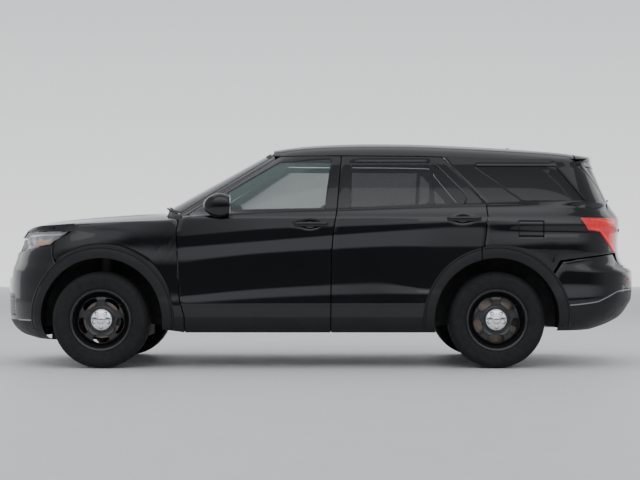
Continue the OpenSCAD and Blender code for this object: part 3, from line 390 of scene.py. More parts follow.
def cells(ts, keep):
    """The keep test of a base grid for a finer one."""
    rows, cols = ts
    return lambda i, j: keep(int((rows[i] + rows[i + 1]) / 2), int((cols[j] + cols[j + 1]) / 2))


def turns(n):
    """Angles of n points round a circle."""
    return [2 * pi * k / n for k in range(n)]


def wraps(m, n, closed=False):
    """Faces between m rings of n points; closed joins the last ring to the first."""
    return [(i * n + j, i * n + (j + 1) % n, (i + 1) % m * n + (j + 1) % n, (i + 1) % m * n + j)
            for i in range(m if closed else m - 1) for j in range(n)]


def caps(m, n):
    """End faces of m rings of n points."""
    return [tuple(range(n)), tuple(range(m * n - 1, (m - 1) * n - 1, -1))]


def lathe(profile, n=96):
    """Closed ring about local Y from (radius, out) points."""
    points = [(r * cos(a), y, r * sin(a)) for a in turns(n) for r, y in profile]
    return points, wraps(n, len(profile), True)


def moved(points, at, turn=0.0):
    """Points about local Y moved to a place, turned about Y by degrees."""
    c, s = cos(radians(turn)), sin(radians(turn))
    return [(at[0] + p[0] * c - p[2] * s, at[1] + p[1], at[2] + p[0] * s + p[2] * c) for p in points]


def tube(path, r, n=12, closed=False):
    """Round tube along millimetre points."""
    pts = [Vector(p) for p in path]
    points, count = [], len(pts)
    up = Vector((0.13, 0.27, 0.95)).normalized()
    for k, p in enumerate(pts):
        a = pts[(k - 1) % count] if closed or k > 0 else p
        b = pts[(k + 1) % count] if closed or k < count - 1 else p
        t = (b - a).normalized()
        u = t.cross(up).normalized()
        v = t.cross(u)
        points += [tuple(p + r * (cos(i) * u + sin(i) * v)) for i in turns(n)]
    return points, wraps(count, n, closed) + ([] if closed else caps(count, n))


def join(*parts):
    points, faces = [], []
    for p, f in parts:
        k = len(points)
        points += p
        faces += [tuple(i + k for i in q) for q in f]
    return points, faces


def mirrored(points, faces):
    return [(p[0], -p[1], p[2]) for p in points], [tuple(reversed(f)) for f in faces]


def both(points, faces):
    return join((points, faces), mirrored(points, faces))


def block(lo, hi):
    """Box between two corners."""
    (a, b, c), (d, e, f) = lo, hi
    p = [(x, y, z) for x in (a, d) for y in (b, e) for z in (c, f)]
    return p, [(0, 1, 3, 2), (4, 6, 7, 5), (0, 4, 5, 1), (2, 3, 7, 6), (0, 2, 6, 4), (1, 5, 7, 3)]


# ---------------------------------------------------------------- doors
front_line = lin([
    (SILL, FX - 640), (395, FX - 640), (541, FX - 603), (848, FX - 587), (1043, FX - 577), (1110, FX - 590),
    (1151, FX - 612), (RAIL, FX - 1363)])
mid_line = lin([(SILL, BX), (410, BX), (849, BX - 5), (1043, BX - 20), (1199, BX - 46), (RAIL, BX - 85)])
back_line = lin([(DOOR_HIP, RX + 118), (920, RX + 97), (1157, RX + 67), (1265, RX + 80), (RAIL, RX + 411)])


def arch_x(z):
    return sqrt(max(0, ARCH_R ** 2 - (z - TYRE_R) ** 2))


def back_x(z):
    return RX + arch_x(z) if z < DOOR_HIP else back_line(z)


DOOR_ROWS = [  # height, share of the rise of the belt line, depth of the door
    (SILL, 0, 60), (330, 0, 90), (395, 0, 120), (480, 0, 120), (541, 0, 120), (640, 0, 120), (735, 0, 120),
    (DOOR_HIP, 0, 120), (930, 0, 120), (1000, 0, 120), (1045, .2, 120), (1095, .6, 120), (1130, .8, 120),
    (BELT, 1, 120), (BELT + 26, 1, 46), (1262, .8, 46), (1305, .7, 46), (1350, .6, 46), (1430, .4, 46),
    (1510, .2, 46), (1560, .1, 46), (HEADER, 0, 46), (RAIL, 0, 46)]
win_ff = lin([(BELT + 26, FX - 1015), (1350, FX - 959), (HEADER, FX - 1368), (RAIL, FX - 1425)])
win_fr = lin([(BELT, BX + 51), (HEADER, BX - 1), (RAIL, BX - 4)])
win_rf = lin([(BELT, BX - 155), (HEADER, BX - 168), (RAIL, BX - 172)])
win_rr = lin([(BELT, RX + 512), (RAIL, RX + 501)])
vent_f = lin([(BELT, RX + 478), (RAIL, RX + 472)])
vent_r = lin([(820, RX + 240), (1150, RX + 230), (BELT + 26, RX + 262), (1262, RX + 226), (1305, RX + 245),
              (1560, RX + 452), (RAIL, RX + 462)])


def lifted(row, x):
    return row[0] + row[1] * (belt(x) - BELT)


def front_xs(row):
    z = row[0]
    f = front_line(lifted(row, front_line(z))) - GAP
    r = mid_line(lifted(row, BX)) + GAP
    wf, wr = win_ff(z), win_fr(z)
    return [f, blend(f, wf, .5), wf, blend(wf, wr, .25), blend(wf, wr, .5), blend(wf, wr, .75), wr, r]


def rear_xs(row):
    z = row[0]
    f = mid_line(lifted(row, BX)) - GAP
    r = back_x(lifted(row, back_x(z))) + GAP
    low, wf = z < DOOR_HIP, win_rf(z)
    wr = blend(wf, r, .6) if low else win_rr(z)
    vf = blend(wf, r, .68) if low else vent_f(z)
    vr = blend(wf, r, .85) if low else vent_r(z)
    return [f, wf, blend(wf, wr, .33), blend(wf, wr, .67), wr, vf, vr, r]


def door_z(row, x):
    t = clamp((row[0] - HEADER) / (RAIL - HEADER))
    return blend(lifted(row, x), rail(x), t)


HANDLES = {"front": (BX + 150, 1100.0), "rear": (RX + 250, 1142.0)}


def dent(x, z):
    """Depth of the handle pockets and of the recessed strip over the sill cladding."""
    deep = 5 * clamp((z - 397) / 4) * clamp((482 - z) / 4)
    for hx, hz in HANDLES.values():
        r = hypot((x - hx - 10) / 88, (z - hz + 2) / 42)
        deep += 20 * (1 - r * r) ** 2 if r < 1 else 0
    return deep


clad_line = smooth([(-900, 431), (-667, 446), (-420, 481), (-107, 471), (465, 450), (1000, 424), (1100, 399)])


def door_zone(x, y, z):
    return 1 if z < CLAD else 2 if z < clad_line(x) else 0


def door_grid(xs_at, rows, cols, d):
    out = []
    for t in rows:
        row = along(DOOR_ROWS, t)
        xs = xs_at(row)
        line = []
        for c in cols:
            x = along(xs, c)
            z = door_z(row, x)
            line.append(side_point(x, z, row[2] if d is None else d + (dent(x, z) if d == 0 else 0)))
        out.append(line)
    return out


DOORS = (
    ("front", front_xs, steps(7, [5, 5, 4, 4, 4, 12, 5]), ((2, 6, 21, CLEAR),)),
    ("rear", rear_xs, steps(7, [3, 4, 4, 4, 2, 10, 5]), ((1, 4, 21, DOORGLASS), (5, 6, 20, DOORGLASS))))
d_rows = steps(22, [3, 3, 8, 6, 9, 5, 4, 9, 8, 7, 7, 7, 5, 5, 3, 2, 2, 3, 3, 2, 2, 2])
FOOT = 14  # the row of DOOR_ROWS at the foot of the windows
for kind, xs_at, cols, panes in DOORS:
    keep = cells((d_rows, cols), lambda i, j: not any(FOOT <= i < head and a <= j < b for a, b, head, _ in panes))
    shape = sheet(door_grid(xs_at, d_rows, cols, 0), door_grid(xs_at, d_rows, cols, None), keep)
    pair(kind + "_door_shell_{}", shape, PAINT, kind + "_door_{}", [f"door_{kind}_{{}}"], 2.5, more=(TRIM, SATIN),
         zone=door_zone)
    # panes, a little inside their openings
    for k, (a, b, head, mat) in enumerate(panes, 1):
        g_rows = [r for r in d_rows if FOOT <= r <= head]
        g_cols = [c for c in cols if a <= c <= b]
        shape = sheet(door_grid(xs_at, g_rows, g_cols, 9), door_grid(xs_at, g_rows, g_cols, 14))
        pair(f"{kind}_pane{k}_{{}}", shape, mat, kind + "_door_{}", [f"glass_{kind}_{{}}"] if k == 1 else ())


# ---------------------------------------------------------------- fenders, hood, front end
WING_LOW = [(FX - 640, SILL), (FX - 640, 395), (FX - 603, 541), (FX - 593, 700), (FX - 587, 848), (FX - 577, 1043),
            (FX - 590, 1110)]
WING_TOP = [FX - 560, FX - 480, FX - 370, FX - 250, FX - 120, FX, FX + 110, FX + 205]
WING_FRONT = [(FX + 221, 1056), (FX + 300, 1003), (FX + 373, 952), (FX + 375, 905), (FX + 375, 860)]
WING = ([(x, z, 0.0) for x, z in WING_LOW] + [(x, belt(x) - 4, 1.0) for x in WING_TOP]
        + [(x, z, 0.0) for x, z in WING_FRONT])
WING_STEPS = [0, .12, .25, .4, .55, .7, .85, .93, .97]


def wing_column(p, d):
    """Column of the fender from the arch flare out to an edge point, rounded over to the hood where it meets it."""
    vx, vz = p[0] - FX, p[1] - TYRE_R
    l = hypot(vx, vz)
    e = (FX + vx * (1 - 4 / l), TYRE_R + vz * (1 - 4 / l))
    a = (FX + vx * FLARE_R / l, TYRE_R + vz * FLARE_R / l)
    out = [side_point(blend(a[0], e[0], s), blend(a[1], e[1], s), d) for s in WING_STEPS]
    low, top = out[-1], (e[0], 838.5, deck_z(e[0], HOOD_HALF) - d)
    flat = side_point(e[0], e[1], d)
    corner = (e[0], low[1] - 10, top[2] + 1)
    for t in (0.25, 0.5, 0.75, 1.0):
        q = tuple((1 - t) ** 2 * u + 2 * t * (1 - t) * v + t * t * w for u, v, w in zip(low, corner, top))
        out.append(mix(mix(low, flat, t), q, p[2]))
    return out


w_cols = steps(len(WING) - 1, 3)
fender = sheet(*[[wing_column(along(WING, t), d) for t in w_cols] for d in (0, 16)])
pair("fender_skin_{}", fender, PAINT, "chassis", ["fender_{}"], 2.5, more=(TRIM,),
     zone=lambda x, y, z: 1 if z < CLAD else 0)


def nose_at(y, z):
    return nose_reach(z) * (1 - (abs(y) / lower_half(z)) ** 2.2) ** (1 / 8)


def hood_rear_x(y):
    return FX - 385 - 140 * (abs(y) / HOOD_HALF) ** 2


def hood_front_x(y):
    return nose_at(y, HOOD_Z) - 8


def lip_z(y):
    return blend(1004, 1049, clamp((abs(y) - 505) / 15))


HOOD_YS = [-831.5, -760, -650, -520, -505, -350, -180, 0, 180, 350, 505, 520, 650, 760, 831.5]
h_cols = steps(14, [3, 4, 4, 2, 4, 4, 4, 4, 4, 4, 2, 4, 4, 3])
h_rows = [k / 36 for k in range(37)]


def hood_grid(d):
    ys = [along(HOOD_YS, c) for c in h_cols]
    out = []
    for s in (0, .5):
        line = []
        for y in ys:
            lip, x = lip_z(y), hood_front_x(y)
            z = blend(lip, deck_z(x, y), s * .9) - .3 * d * s
            line.append((blend(nose_at(y, lip) - 4, x, s) - d, y, z))
        out.append(line)
    for t in reversed(h_rows):
        line = []
        for y in ys:
            x = blend(hood_rear_x(y), hood_front_x(y) - .6 * d, t)
            ridge = 7 * exp(-((abs(y) - 470) / 60) ** 2) * clamp(t * 6) * clamp((1 - t) * 5)
            line.append((x, y, deck_z(x, y) + ridge - d))
        out.append(line)
    return out


p, f = sheet(hood_grid(0), hood_grid(16))
piece("hood_skin", p, f, PAINT, "hood", ["hood"], 2.5)

lamp_low = lin([(FX + 383, 948), (NOSE - 150, 893)])


def lamp_row(share, d, n=28):
    z0, x0 = blend(930, 1044, share), blend(FX + 404, FX + 262, share)
    a0 = walk_to_y(548, lower_half(z0))
    a1 = walk_to_x(x0 / nose_reach(z0), 8)
    out = []
    for k in range(n + 1):
        q = end_point(1, blend(a0, a1, k / n), z0, d)
        out.append((q[0], q[1], blend(lamp_low(q[0]) + 3.5, 1044, share)))
    return out


def lamp_sheet(shares, d0, d1, cols=slice(None)):
    return both(*sheet(*[[lamp_row(s, d)[cols] for s in shares] for d in (d0, d1)]))


l_rows = [k / 10 for k in range(11)]
piece("headlamp_lenses", *lamp_sheet(l_rows, 2, 6), LENS, "chassis", ["headlamps"])
piece("headlamp_backs", *lamp_sheet([-.16 + 1.18 * s for s in l_rows], 38, 44), GLOSS, "chassis", (), 1.0)
piece("headlamp_ambers", *lamp_sheet((.10, .2, .3, .42), 12, 30, slice(14, 26)), AMBER, "chassis", (), 1.5)
piece("headlamp_light_bars", *lamp_sheet((.72, .78, .84), 17, 26, slice(3, 27)), REFLECT, "chassis", (), 1.5)
bowls = []
for k, size in ((5, 30), (11, 30), (16, 24)):
    q, lit = lamp_row(.46, 30)[k], lamp_row(.46, 0)[k]
    ang = atan2(lit[1] - q[1], lit[0] - q[0])
    bowl = [(size, 0), (size - 2, 14), (size - 5, 15), (size * .55, 2), (0.5, 0.5), (0.5, -2), (size, -2)]
    pts, fcs = lathe(bowl, 40)
    c, sn = cos(ang), sin(ang)
    bowls.append(([(q[0] + c * b + sn * a, q[1] + sn * b - c * a, q[2] + z) for a, b, z in pts], fcs))
piece("headlamp_bowls", *both(*join(*bowls)), REFLECT, "chassis")

NOSE_YS = [0, 125, 250, 375, 505, 620]
NOSE_TURNS = [0, 3, 6, 9, 12, 16, 25, 40, 55, 70, 82, 90]
BUMPER_ZS = [205, 250, 300, 345, 395, 470, 545, 620, 690, 745, 818, 862]
bumper_back = lin([(745, 303), (818, 362), (862, 378)])


def nose_walk(z):
    e = FX + GAP + (arch_x(z) if z < 745 else bumper_back(z))
    a, b = walk_to_y(620, lower_half(z)), walk_to_x(e / nose_reach(z), 8)
    return [walk_to_y(y, lower_half(z)) for y in NOSE_YS] + [blend(a, b, k / 6) for k in range(1, 7)]


def nose_point(walk, c, z, d):
    return wrapped(1, along(walk, c), z, d, along(NOSE_TURNS, c))


def full_row(half):
    """Row from right to left out of its left half."""
    return [(q[0], -q[1], q[2]) for q in reversed(half[1:])] + half


b_cols = steps(11, 4)
b_rows = steps(12, 3)


def bumper_grid(d):
    out = []
    for t in b_rows:
        z = along(BUMPER_ZS, min(t, 11))
        zs = [z] * len(b_cols)
        if t > 11:  # the last rows rise to the foot of the headlamps
            tops = [lamp_low(end_point(1, a, 920)[0]) - GAP for a in (along(nose_walk(940), c) for c in b_cols)]
            zs = [blend(z, top, t - 11) for top in tops]
            z = blend(z, 940, t - 11)
        w = nose_walk(z)
        out.append(full_row([nose_point(w, c, h, d) for c, h in zip(b_cols, zs)]))
    return out


def bumper_keep(i, j):
    r, c = (b_rows[i] + b_rows[i + 1]) / 2, abs(j + .5 - 44) / 4
    return not (r > 8 and c < 4) and not (4 < r < 6 and c < 5)


p, f = sheet(bumper_grid(0), bumper_grid(18), bumper_keep)
piece("front_bumper_cover", p, f, PAINT, "chassis", ["front_bumper"], 2.5, more=(TRIM,),
      zone=lambda x, y, z: 1 if z < 362 else 0)


def brow_row(share, d, n=14):
    """Row of the strip of body between the headlamp and the hood."""
    a0 = walk_to_y(800, lower_half(1047))
    a1 = walk_to_x((FX + 214) / nose_reach(1047), 8)
    out = []
    for k in range(n + 1):
        x = end_point(1, blend(a0, a1, k / n), 1047)[0]
        out.append(side_point(x, blend(1047, belt(x) - 4.5, share), d))
    return out


brow = sheet([brow_row(k / 5, 2.5) for k in range(6)], [brow_row(k / 5, 9) for k in range(6)])
piece("lamp_brows", *both(*brow), PAINT, "chassis")
piece("engine_undertray", *block((FX - 260, -500, 200), (FX + 450, 500, 330)), UNDER, "chassis", (), 12.0)
liner_zs = [600, 660, 720, 790, 850, 900, 940]
lining = [[[nose_point(nose_walk(z), 4.6 + .4 * k, z, d) for k in range(17)] for z in liner_zs] for d in (50, 56)]
piece("nose_liners", *both(*sheet(*lining)), UNDER, "chassis")


def intake_row(z, d):
    w = nose_walk(z)
    return full_row([nose_point(w, 4.98 * c / 30, z, d) for c in range(31)])


ribs = [(396.5 + 147 * k / 24, 9 if k % 4 < 2 else 5) for k in range(25)]
p, f = sheet([intake_row(z, d) for z, d in ribs], [intake_row(z, 22) for z, d in ribs])
piece("lower_intake_panel", p, f, SATIN, "chassis", (), 1.0)

# ---------------------------------------------------------------- screen, pillars, roof
s_rows = [k / 24 for k in range(25)]
s_cols = [k / 24 - 1 for k in range(49)]


def screen_grid(d, rows=s_rows, cols=s_cols):
    out = []
    for s in rows:
        line = []
        for t in cols:
            z = blend(1245 - 58 * t * t, blend(1702, RAIL + 7, t * t), s)
            q = cabin_point(1, walk_to_y(abs(t) * .80 * cabin_half(z), cabin_half(z)), z, d)
            line.append((q[0], copysign(q[1], t), z))
        out.append(line)
    return out


p, f = sheet(screen_grid(4), screen_grid(9))
piece("windscreen_glass", p, f, SCREEN, "chassis", ["windscreen"])


def screen_band(rows, cols=s_cols):
    return sheet(screen_grid(2.5, rows, cols), screen_grid(4, rows, cols))


piece("windscreen_foot_band", *screen_band([0, .012, .03]), SEAL, "chassis")
rim = [screen_band(s_rows, [-1, -.985, -.965]), screen_band(s_rows, [.965, .985, 1]), screen_band([.955, .975, 1])]
piece("windscreen_rim_bands", *join(*rim), SEAL, "chassis")


def cowl_grid(d, n=8):
    foot = screen_grid(4)[0]
    out = []
    for k in range(n + 1):
        line = []
        for t, q in zip(s_cols, foot):
            y = t * 750
            x = hood_rear_x(y) - 34
            a = (x, y, deck_z(x, y) - 34)
            b = (q[0] + 2, q[1], q[2] - 4)
            dip = -6 * sin(pi * k / n) + (1.5 if k % 2 else 0)
            m = mix(a, b, k / n)
            line.append((m[0], m[1], m[2] + dip - d))
        out.append(line)
    return out


p, f = sheet(cowl_grid(0), cowl_grid(8))
piece("cowl_cover", p, f, TRIM, "chassis", ["cowl"])
PILLAR_ZS = [1187, 1262, 1350, 1440, 1530, 1614, 1641]


def pillar_row(z, d, n=10):
    x0 = front_line(min(z, RAIL)) + GAP + 1
    a0 = walk_to_y(.80 * cabin_half(z), cabin_half(z)) + radians(.5)
    a1 = walk_to_x((x0 - MID_X) / (screen_x(z) - MID_X), 7)
    out = []
    for k in range(n + 1):
        q = cabin_point(1, blend(a0, a1, k / n), z)
        w = radians(12 + 78 * k / n)
        out.append((q[0] - d * cos(w), q[1] - d * sin(w), z))
    return out


def pillar_foot(z, d):
    """Row of the pillar below the screen, kept clear of the hood."""
    return [(min(q[0], hood_rear_x(q[1]) - 8), q[1], z) for q in pillar_row(z, d)]


z_rows = [along(PILLAR_ZS, t) for t in steps(6, 4)]
p, f = sheet(*[[pillar_foot(z, d) for z in (1146, 1160, 1174)] + [pillar_row(z, d) for z in z_rows] for d in (0, 40)])
posts = join(block((FX - 565, 640, 300), (FX - 505, 815, 1100)), block((FX - 600, 765, 1060), (FX - 540, 822, 1180)))
piece("screen_pillars", *both(*join((p, f), posts)), PAINT, "chassis", ["a_pillars"], 2.0)

ROOF_XS = [FX - 1302, FX - 1340, FX - 1420, FX - 1575, FX - 1840, RX + 850, RX + 400, RX, RX - 350, TAIL + 542]
r_rows = steps(9, 4)
r_cols = [copysign(1 - (1 - abs(k / 28)) ** 1.8, k) for k in range(-28, 29)]


def roof_z(x, t, e):
    return roof_mid(x) - (roof_mid(x) - e) * (.24 * t * t + .76 * t ** 10)


def roof_point(x, share, d):
    """Point of the roof, with a groove over each rail and a front edge that bows."""
    e, t = rail(x) + 7, abs(share)
    half = cabin_y(min(x, FX - 1366), e)
    groove = 5 * exp(-((t - .80) / .035) ** 2) * clamp((FX - 1420 - x) / 120) * clamp((x - RX + 420) / 150)
    bow = 30 * (1 - t * t) - 30 if x > FX - 1310 else 0
    return (x + bow, share * (half - d * 1.2), e if t == 1 else max(e + 2, roof_z(x, t, e) - groove - d))


def roof_grid(d, rows=r_rows, cols=r_cols):
    return [[roof_point(along(ROOF_XS, t), c, d) for c in cols] for t in rows]


closers = join(block((BX - 45, 745, 278), (BX + 45, 828, 430)), block((FX - 690, 745, 278), (FX - 600, 828, 430)))
piece("sill_closers", *both(*closers), UNDER, "chassis", (), 4.0)
piece("roof_skin", *sheet(roof_grid(0), roof_grid(24)), PAINT, "chassis", ["roof"], 1.5)

# ---------------------------------------------------------------- quarter panels, lamps, liftgate, rear bumper
GATE = 660.0
gate_y = lin([(1225, GATE), (1266, GATE + 8), (1372, GATE + 30), (1560, GATE + 60), (1590, GATE + 58),
              (1660, GATE + 45)])
FLARE_X = RX - 429  # where the quarter panel leaves the rear flare
low_line = lin([(TAIL, 884), (TAIL + 235, 884), (RX - 480, 824),
                (FLARE_X, TYRE_R + sqrt(FLARE_R ** 2 - 429 ** 2))])
Q_FOOT, Q_BODY, Q_HEAD = 935, 965, 1559  # lower edge, first level row, head of the glass
Q_ROWS = [  # height, depth of the panel
    (Q_FOOT, 24), (Q_BODY, 24), (1000, 24), (1128, 24), (1156, 24), (1200, 26), (1236, 30), (1285, 34), (1350, 40),
    (1450, 44), (Q_HEAD, 46), (RAIL, 46)]
FUEL = (RX - 162, RX - 360)
qw_front = lin([(1128, FUEL[0]), (1285, RX - 204), (Q_HEAD, RX + 160), (RAIL, RX + 220)])
qw_next = lin([(1128, FUEL[1]), (1285, RX - 330), (Q_HEAD, RX - 150), (RAIL, RX - 100)])
qw_rear = lin([(1156, TAIL + 533), (1285, RX - 690), (Q_HEAD, RX - 475), (RAIL, RX - 430)])


def quarter_low(x):
    return TYRE_R + sqrt(max(0, FLARE_R ** 2 - (x - RX) ** 2)) if x > FLARE_X else low_line(x)


def quarter_z(row, x):
    z = row[0]
    if z <= Q_BODY:
        return blend(quarter_low(x), Q_BODY, (z - Q_FOOT) / (Q_BODY - Q_FOOT))
    return blend(z, rail(x) + 6.6, clamp((z - Q_HEAD) / (RAIL - Q_HEAD)))


def quarter_xs(z):
    f = back_line(max(z, 828)) - GAP
    a, b, c = qw_front(z), qw_next(z), qw_rear(z)
    m = clamp((1100 - z) / 60 + .5)
    return [f, blend(f, a, .34), blend(f, a, .67), a, blend(a, b, .35), blend(a, b, .68), b,
            blend(blend(b, c, .3), FLARE_X, m), blend(blend(b, c, .6), RX - 480, m), c]


def corner_low(h, k):
    """Point of the rear corner below the glass, k fifths of the way from the side to the liftgate."""
    a = blend(walk_to_x(-qw_rear(h) / tail_reach(h), 12), walk_to_y(GATE + 7, lower_half(h)), k / 5)
    return end_point(-1, a, h)


def corner_high(h, k):
    """The same beside the glass."""
    a = walk_to_x((MID_X - qw_rear(h)) / (MID_X - rear_x(h)), 13)
    return cabin_point(-1, blend(a, walk_to_y(gate_y(h) + 7, cabin_half(h)), k / 5), h)


def inward(e, k, d, z):
    """Point of the corner set in by d, at height z."""
    w = radians(18 * k)
    return (e[0] + d * sin(w), e[1] - d * cos(w), z)


def quarter_corner(row, k, d):
    z = row[0]
    if z < Q_BODY:
        foot = quarter_low(corner_low(quarter_low(corner_low(Q_FOOT, k)[0]), k)[0])
        h = blend(foot, Q_BODY, (z - Q_FOOT) / (Q_BODY - Q_FOOT))
        return inward(corner_low(h, k), k, d, h)
    t = clamp((z - 1225) / 41)
    if 0 < t < 1:
        e = mix(corner_low(min(z, 1262), k), corner_high(max(z, 1225), k), t)
    else:
        e = corner_high(z, k) if t else corner_low(z, k)
    return inward(e, k, d, quarter_z(row, e[0]))


q_rows = steps(11, [3, 3, 6, 3, 3, 3, 3, 4, 5, 5, 4])
q_cols = steps(14, [3, 3, 3, 3, 3, 3, 3, 3, 3, 4, 4, 4, 4, 4])


def quarter_grid(d, rows=q_rows, cols=q_cols):
    out = []
    for t in rows:
        row = along(Q_ROWS, t)
        xs = quarter_xs(row[0])
        depth = row[1] if d is None else d
        line = []
        for c in cols:
            if c <= 9:
                x = along(xs, c)
                line.append(side_point(x, quarter_z(row, x), depth))
            else:
                line.append(quarter_corner(row, c - 9, depth))
        out.append(line)
    return out


lamp_edge = lin([(-2460, 893), (-2400, 890), (-2290, 888), (-2158, 1046), (-2057, 1058), (-2000, 1140)])


def tail_lamp(d, lo=0.0, hi=1.0, c0=.02, c1=4.96, rows=12, cols=56):
    """Wedge of the tail lamp on the quarter panel, drawn in by d; lo and hi take a share of its height."""
    out = []
    for i in range(rows + 1):
        line = []
        for j in range(cols + 1):
            k = blend(c0, c1, j / cols)
            z = blend(lamp_edge(corner_low(1100, k)[0]), 1152, blend(lo, hi, i / rows))
            line.append(inward(corner_low(z, k), k, d, z))
        out.append(line)
    return out


def off_glass(i, j):
    return not (7 <= i < 10 and 3 <= j < 9)


def off_glass_and_flap(i, j):
    return off_glass(i, j) and not (i == 2 and 3 <= j < 6)


outer, inner = quarter_grid(0), quarter_grid(None)
left = sheet(outer, inner, cells((q_rows, q_cols), off_glass_and_flap))
right = sheet(outer, inner, cells((q_rows, q_cols), off_glass))
flap_y = side_y(FUEL[1], 1050)
pocket = block((FUEL[1] + 2, flap_y - 68, 1003), (FUEL[0] - 2, flap_y - 18, 1125))
piece("quarter_skin_left", *join(left, pocket), PAINT, "chassis", ["quarter_panel_left"], 2.5)
piece("quarter_skin_right", *right, PAINT, "chassis", ["quarter_panel_right"], 2.5, True)
g_rows, g_cols = [r for r in q_rows if 7 <= r <= 10], [c for c in q_cols if 3 <= c <= 9]
panes = sheet(quarter_grid(9, g_rows, g_cols), quarter_grid(14, g_rows, g_cols))
piece("quarter_panes", *both(*panes), PRIVACY, "chassis", ["quarter_glass"])
fuel_zs = [1007 + k * 19 for k in range(7)]
fuel_xs = [blend(FUEL[0] - 7, FUEL[1] + 7, s / 8) for s in range(9)]
flap = sheet(*[[[side_point(x, z, d) for x in fuel_xs] for z in fuel_zs] for d in (0, 12)])
piece("fuel_door_skin", *flap, PAINT, "fuel_flap", ["fuel_door"], 2.5)
piece("tail_lamp_lenses", *both(*sheet(tail_lamp(-3.5), tail_lamp(1))), RED, "chassis", ["tail_lamps"], 1.5)
glow = [sheet(*[tail_lamp(d, lo, hi, .9, 4.7, 3) for d in (-4.6, 0)]) for lo, hi in ((.12, .17), (.82, .87))]
piece("tail_lamp_light_guides", *both(*join(*glow)), GLOW, "chassis")

GATE_ZS = [773, 880, 1000, 1100, 1156, 1225]
FRAME_ZS = [1266, 1285, 1372, 1470, 1560, 1590]
SHARES = [0, .3, .6, .86, .94, 1]
s_fine = [along(SHARES, t) for t in steps(5, [5, 5, 5, 3, 3])]


def gate_low_row(z, d):
    half = [end_point(-1, walk_to_y(s * GATE, lower_half(z)), z) for s in s_fine]
    return full_row([(q[0] + d, q[1], z) for q in half])


def gate_frame_row(z, d, shares=None):
    out = []
    for s in shares or s_fine:
        q = cabin_point(-1, walk_to_y(s * gate_y(z), cabin_half(z)), z)
        w = radians(90 * s ** 6)
        out.append((q[0] + d * cos(w), q[1] - d * sin(w), z))
    return full_row(out)


def gate_lip_row(x, z):
    return full_row([(x + 118 * s * s, s * 690, z - 18 * s * s) for s in s_fine])


def gate_roof_row(x, d):
    e = rail(TAIL + 535) + 7
    half, swept = cabin_y(TAIL + 535, e), 118 * clamp((TAIL + 531.5 - x) / 213.5)
    return full_row([(x + swept * s * s, s * (half - d), roof_z(x, s, e) - d) for s in s_fine])


def gate_grid(inside):
    out = [gate_low_row(along(GATE_ZS, t), 55 if inside else 0) for t in steps(5, 5)]
    low, high = out[-1], gate_frame_row(FRAME_ZS[0], 38 if inside else 0)
    out += [[mix(a, b, k / 4) for a, b in zip(low, high)] for k in (1, 2, 3)]
    out += [gate_frame_row(along(FRAME_ZS, t), 38 if inside else 0) for t in steps(5, 4)]
    lip = gate_lip_row(TAIL + 390, 1606) if inside else gate_lip_row(TAIL + 318, 1640)
    under = out[-1]
    out += [[mix(a, b, k / 4) for a, b in zip(under, lip)] for k in (1, 2, 3, 4)]
    xs = [TAIL + (420 if inside else 330), TAIL + 450, TAIL + 531.5]
    out += [gate_roof_row(along(xs, t), 24 if inside else 0) for t in steps(2, 4)]
    return out


def gate_keep(i, j):
    c = abs(j + .5 - (len(s_fine) - 1))
    return not (33 <= i < 45 and c < 18)


p, f = sheet(gate_grid(False), gate_grid(True), gate_keep)
piece("liftgate_skin", p, f, PAINT, "tailgate", ["liftgate"], 2.5)
w_rows = [along(FRAME_ZS[1:5], t) for t in steps(3, 5)]
w_sh = [s for s in s_fine if s <= .941]
p, f = sheet([gate_frame_row(z, 9, w_sh) for z in w_rows], [gate_frame_row(z, 14, w_sh) for z in w_rows])
piece("rear_window", p, f, PRIVACY, "tailgate", ["liftgate_glass"])


def middle(row, half):
    """Places in a row that lie within half of the middle."""
    return [k for k, q in enumerate(row) if abs(q[1]) < half]


near = middle(gate_low_row(1060, 0), .86 * GATE)
bar = sheet(*[[[gate_low_row(z, d)[k] for k in near] for z, d in zip((1048, 1051, 1075, 1078), ds)]
              for ds in ((0, -5, -5, 0), (5, 5, 5, 5))])
piece("gate_trim_bar", *bar, SATIN, "tailgate", (), 1.5)
sweep = [gate_frame_row(1290 + 14 * k / 12, -7, [0, .58 * k / 12])[-1] for k in range(1, 13)]
pivot = gate_frame_row(1274, -7, [0, .02])[-1]
piece("rear_wiper", *join(tube(sweep, 6.5, 10), tube([pivot, sweep[0]], 11, 14)), SATIN, "tailgate")
near = middle(gate_lip_row(TAIL + 318, 1640), 190)
stop = sheet(*[[[gate_lip_row(TAIL + x, z)[k] for k in near] for x, z in zip(xs, (1624, 1627, 1636, 1639))]
               for xs in ((321, 315, 315, 319), (326, 326, 326, 326))])
piece("high_stop_lamp", *stop, RED, "tailgate", (), 1.0)

strip_z = smooth([(-2525, 600), (-2398, 597), (-2304, 588), (-2200, 543), (-2115, 507), (-1835, 479), (-1700, 475)])
TAIL_YS = [0, 220, 440, 590, GATE + 11]
TAIL_ZS = [285, 330, 390, 440, 520, 640]
TAIL_TURNS = [0, 3, 6, 9, 12, 20, 30, 42, 54, 66, 76, 84, 90]
TIPS = [(RX - 394, 640), (RX - 412, 690), (RX - 446, 730), (RX - 476, 772), (RX - 503, 812)]


def tail_walk(z):
    a, b = walk_to_y(TAIL_YS[4], lower_half(z)), walk_to_x((arch_x(z) + GAP - RX) / tail_reach(z), 12)
    return [walk_to_y(y, lower_half(z)) for y in TAIL_YS] + [blend(a, b, k / 8) for k in range(1, 9)]


def tail_point(walk, c, z, d):
    return wrapped(-1, along(walk, c), z, d, along(TAIL_TURNS, c))


def bumper_top(a, z):
    return quarter_low(end_point(-1, a, z)[0]) - 11


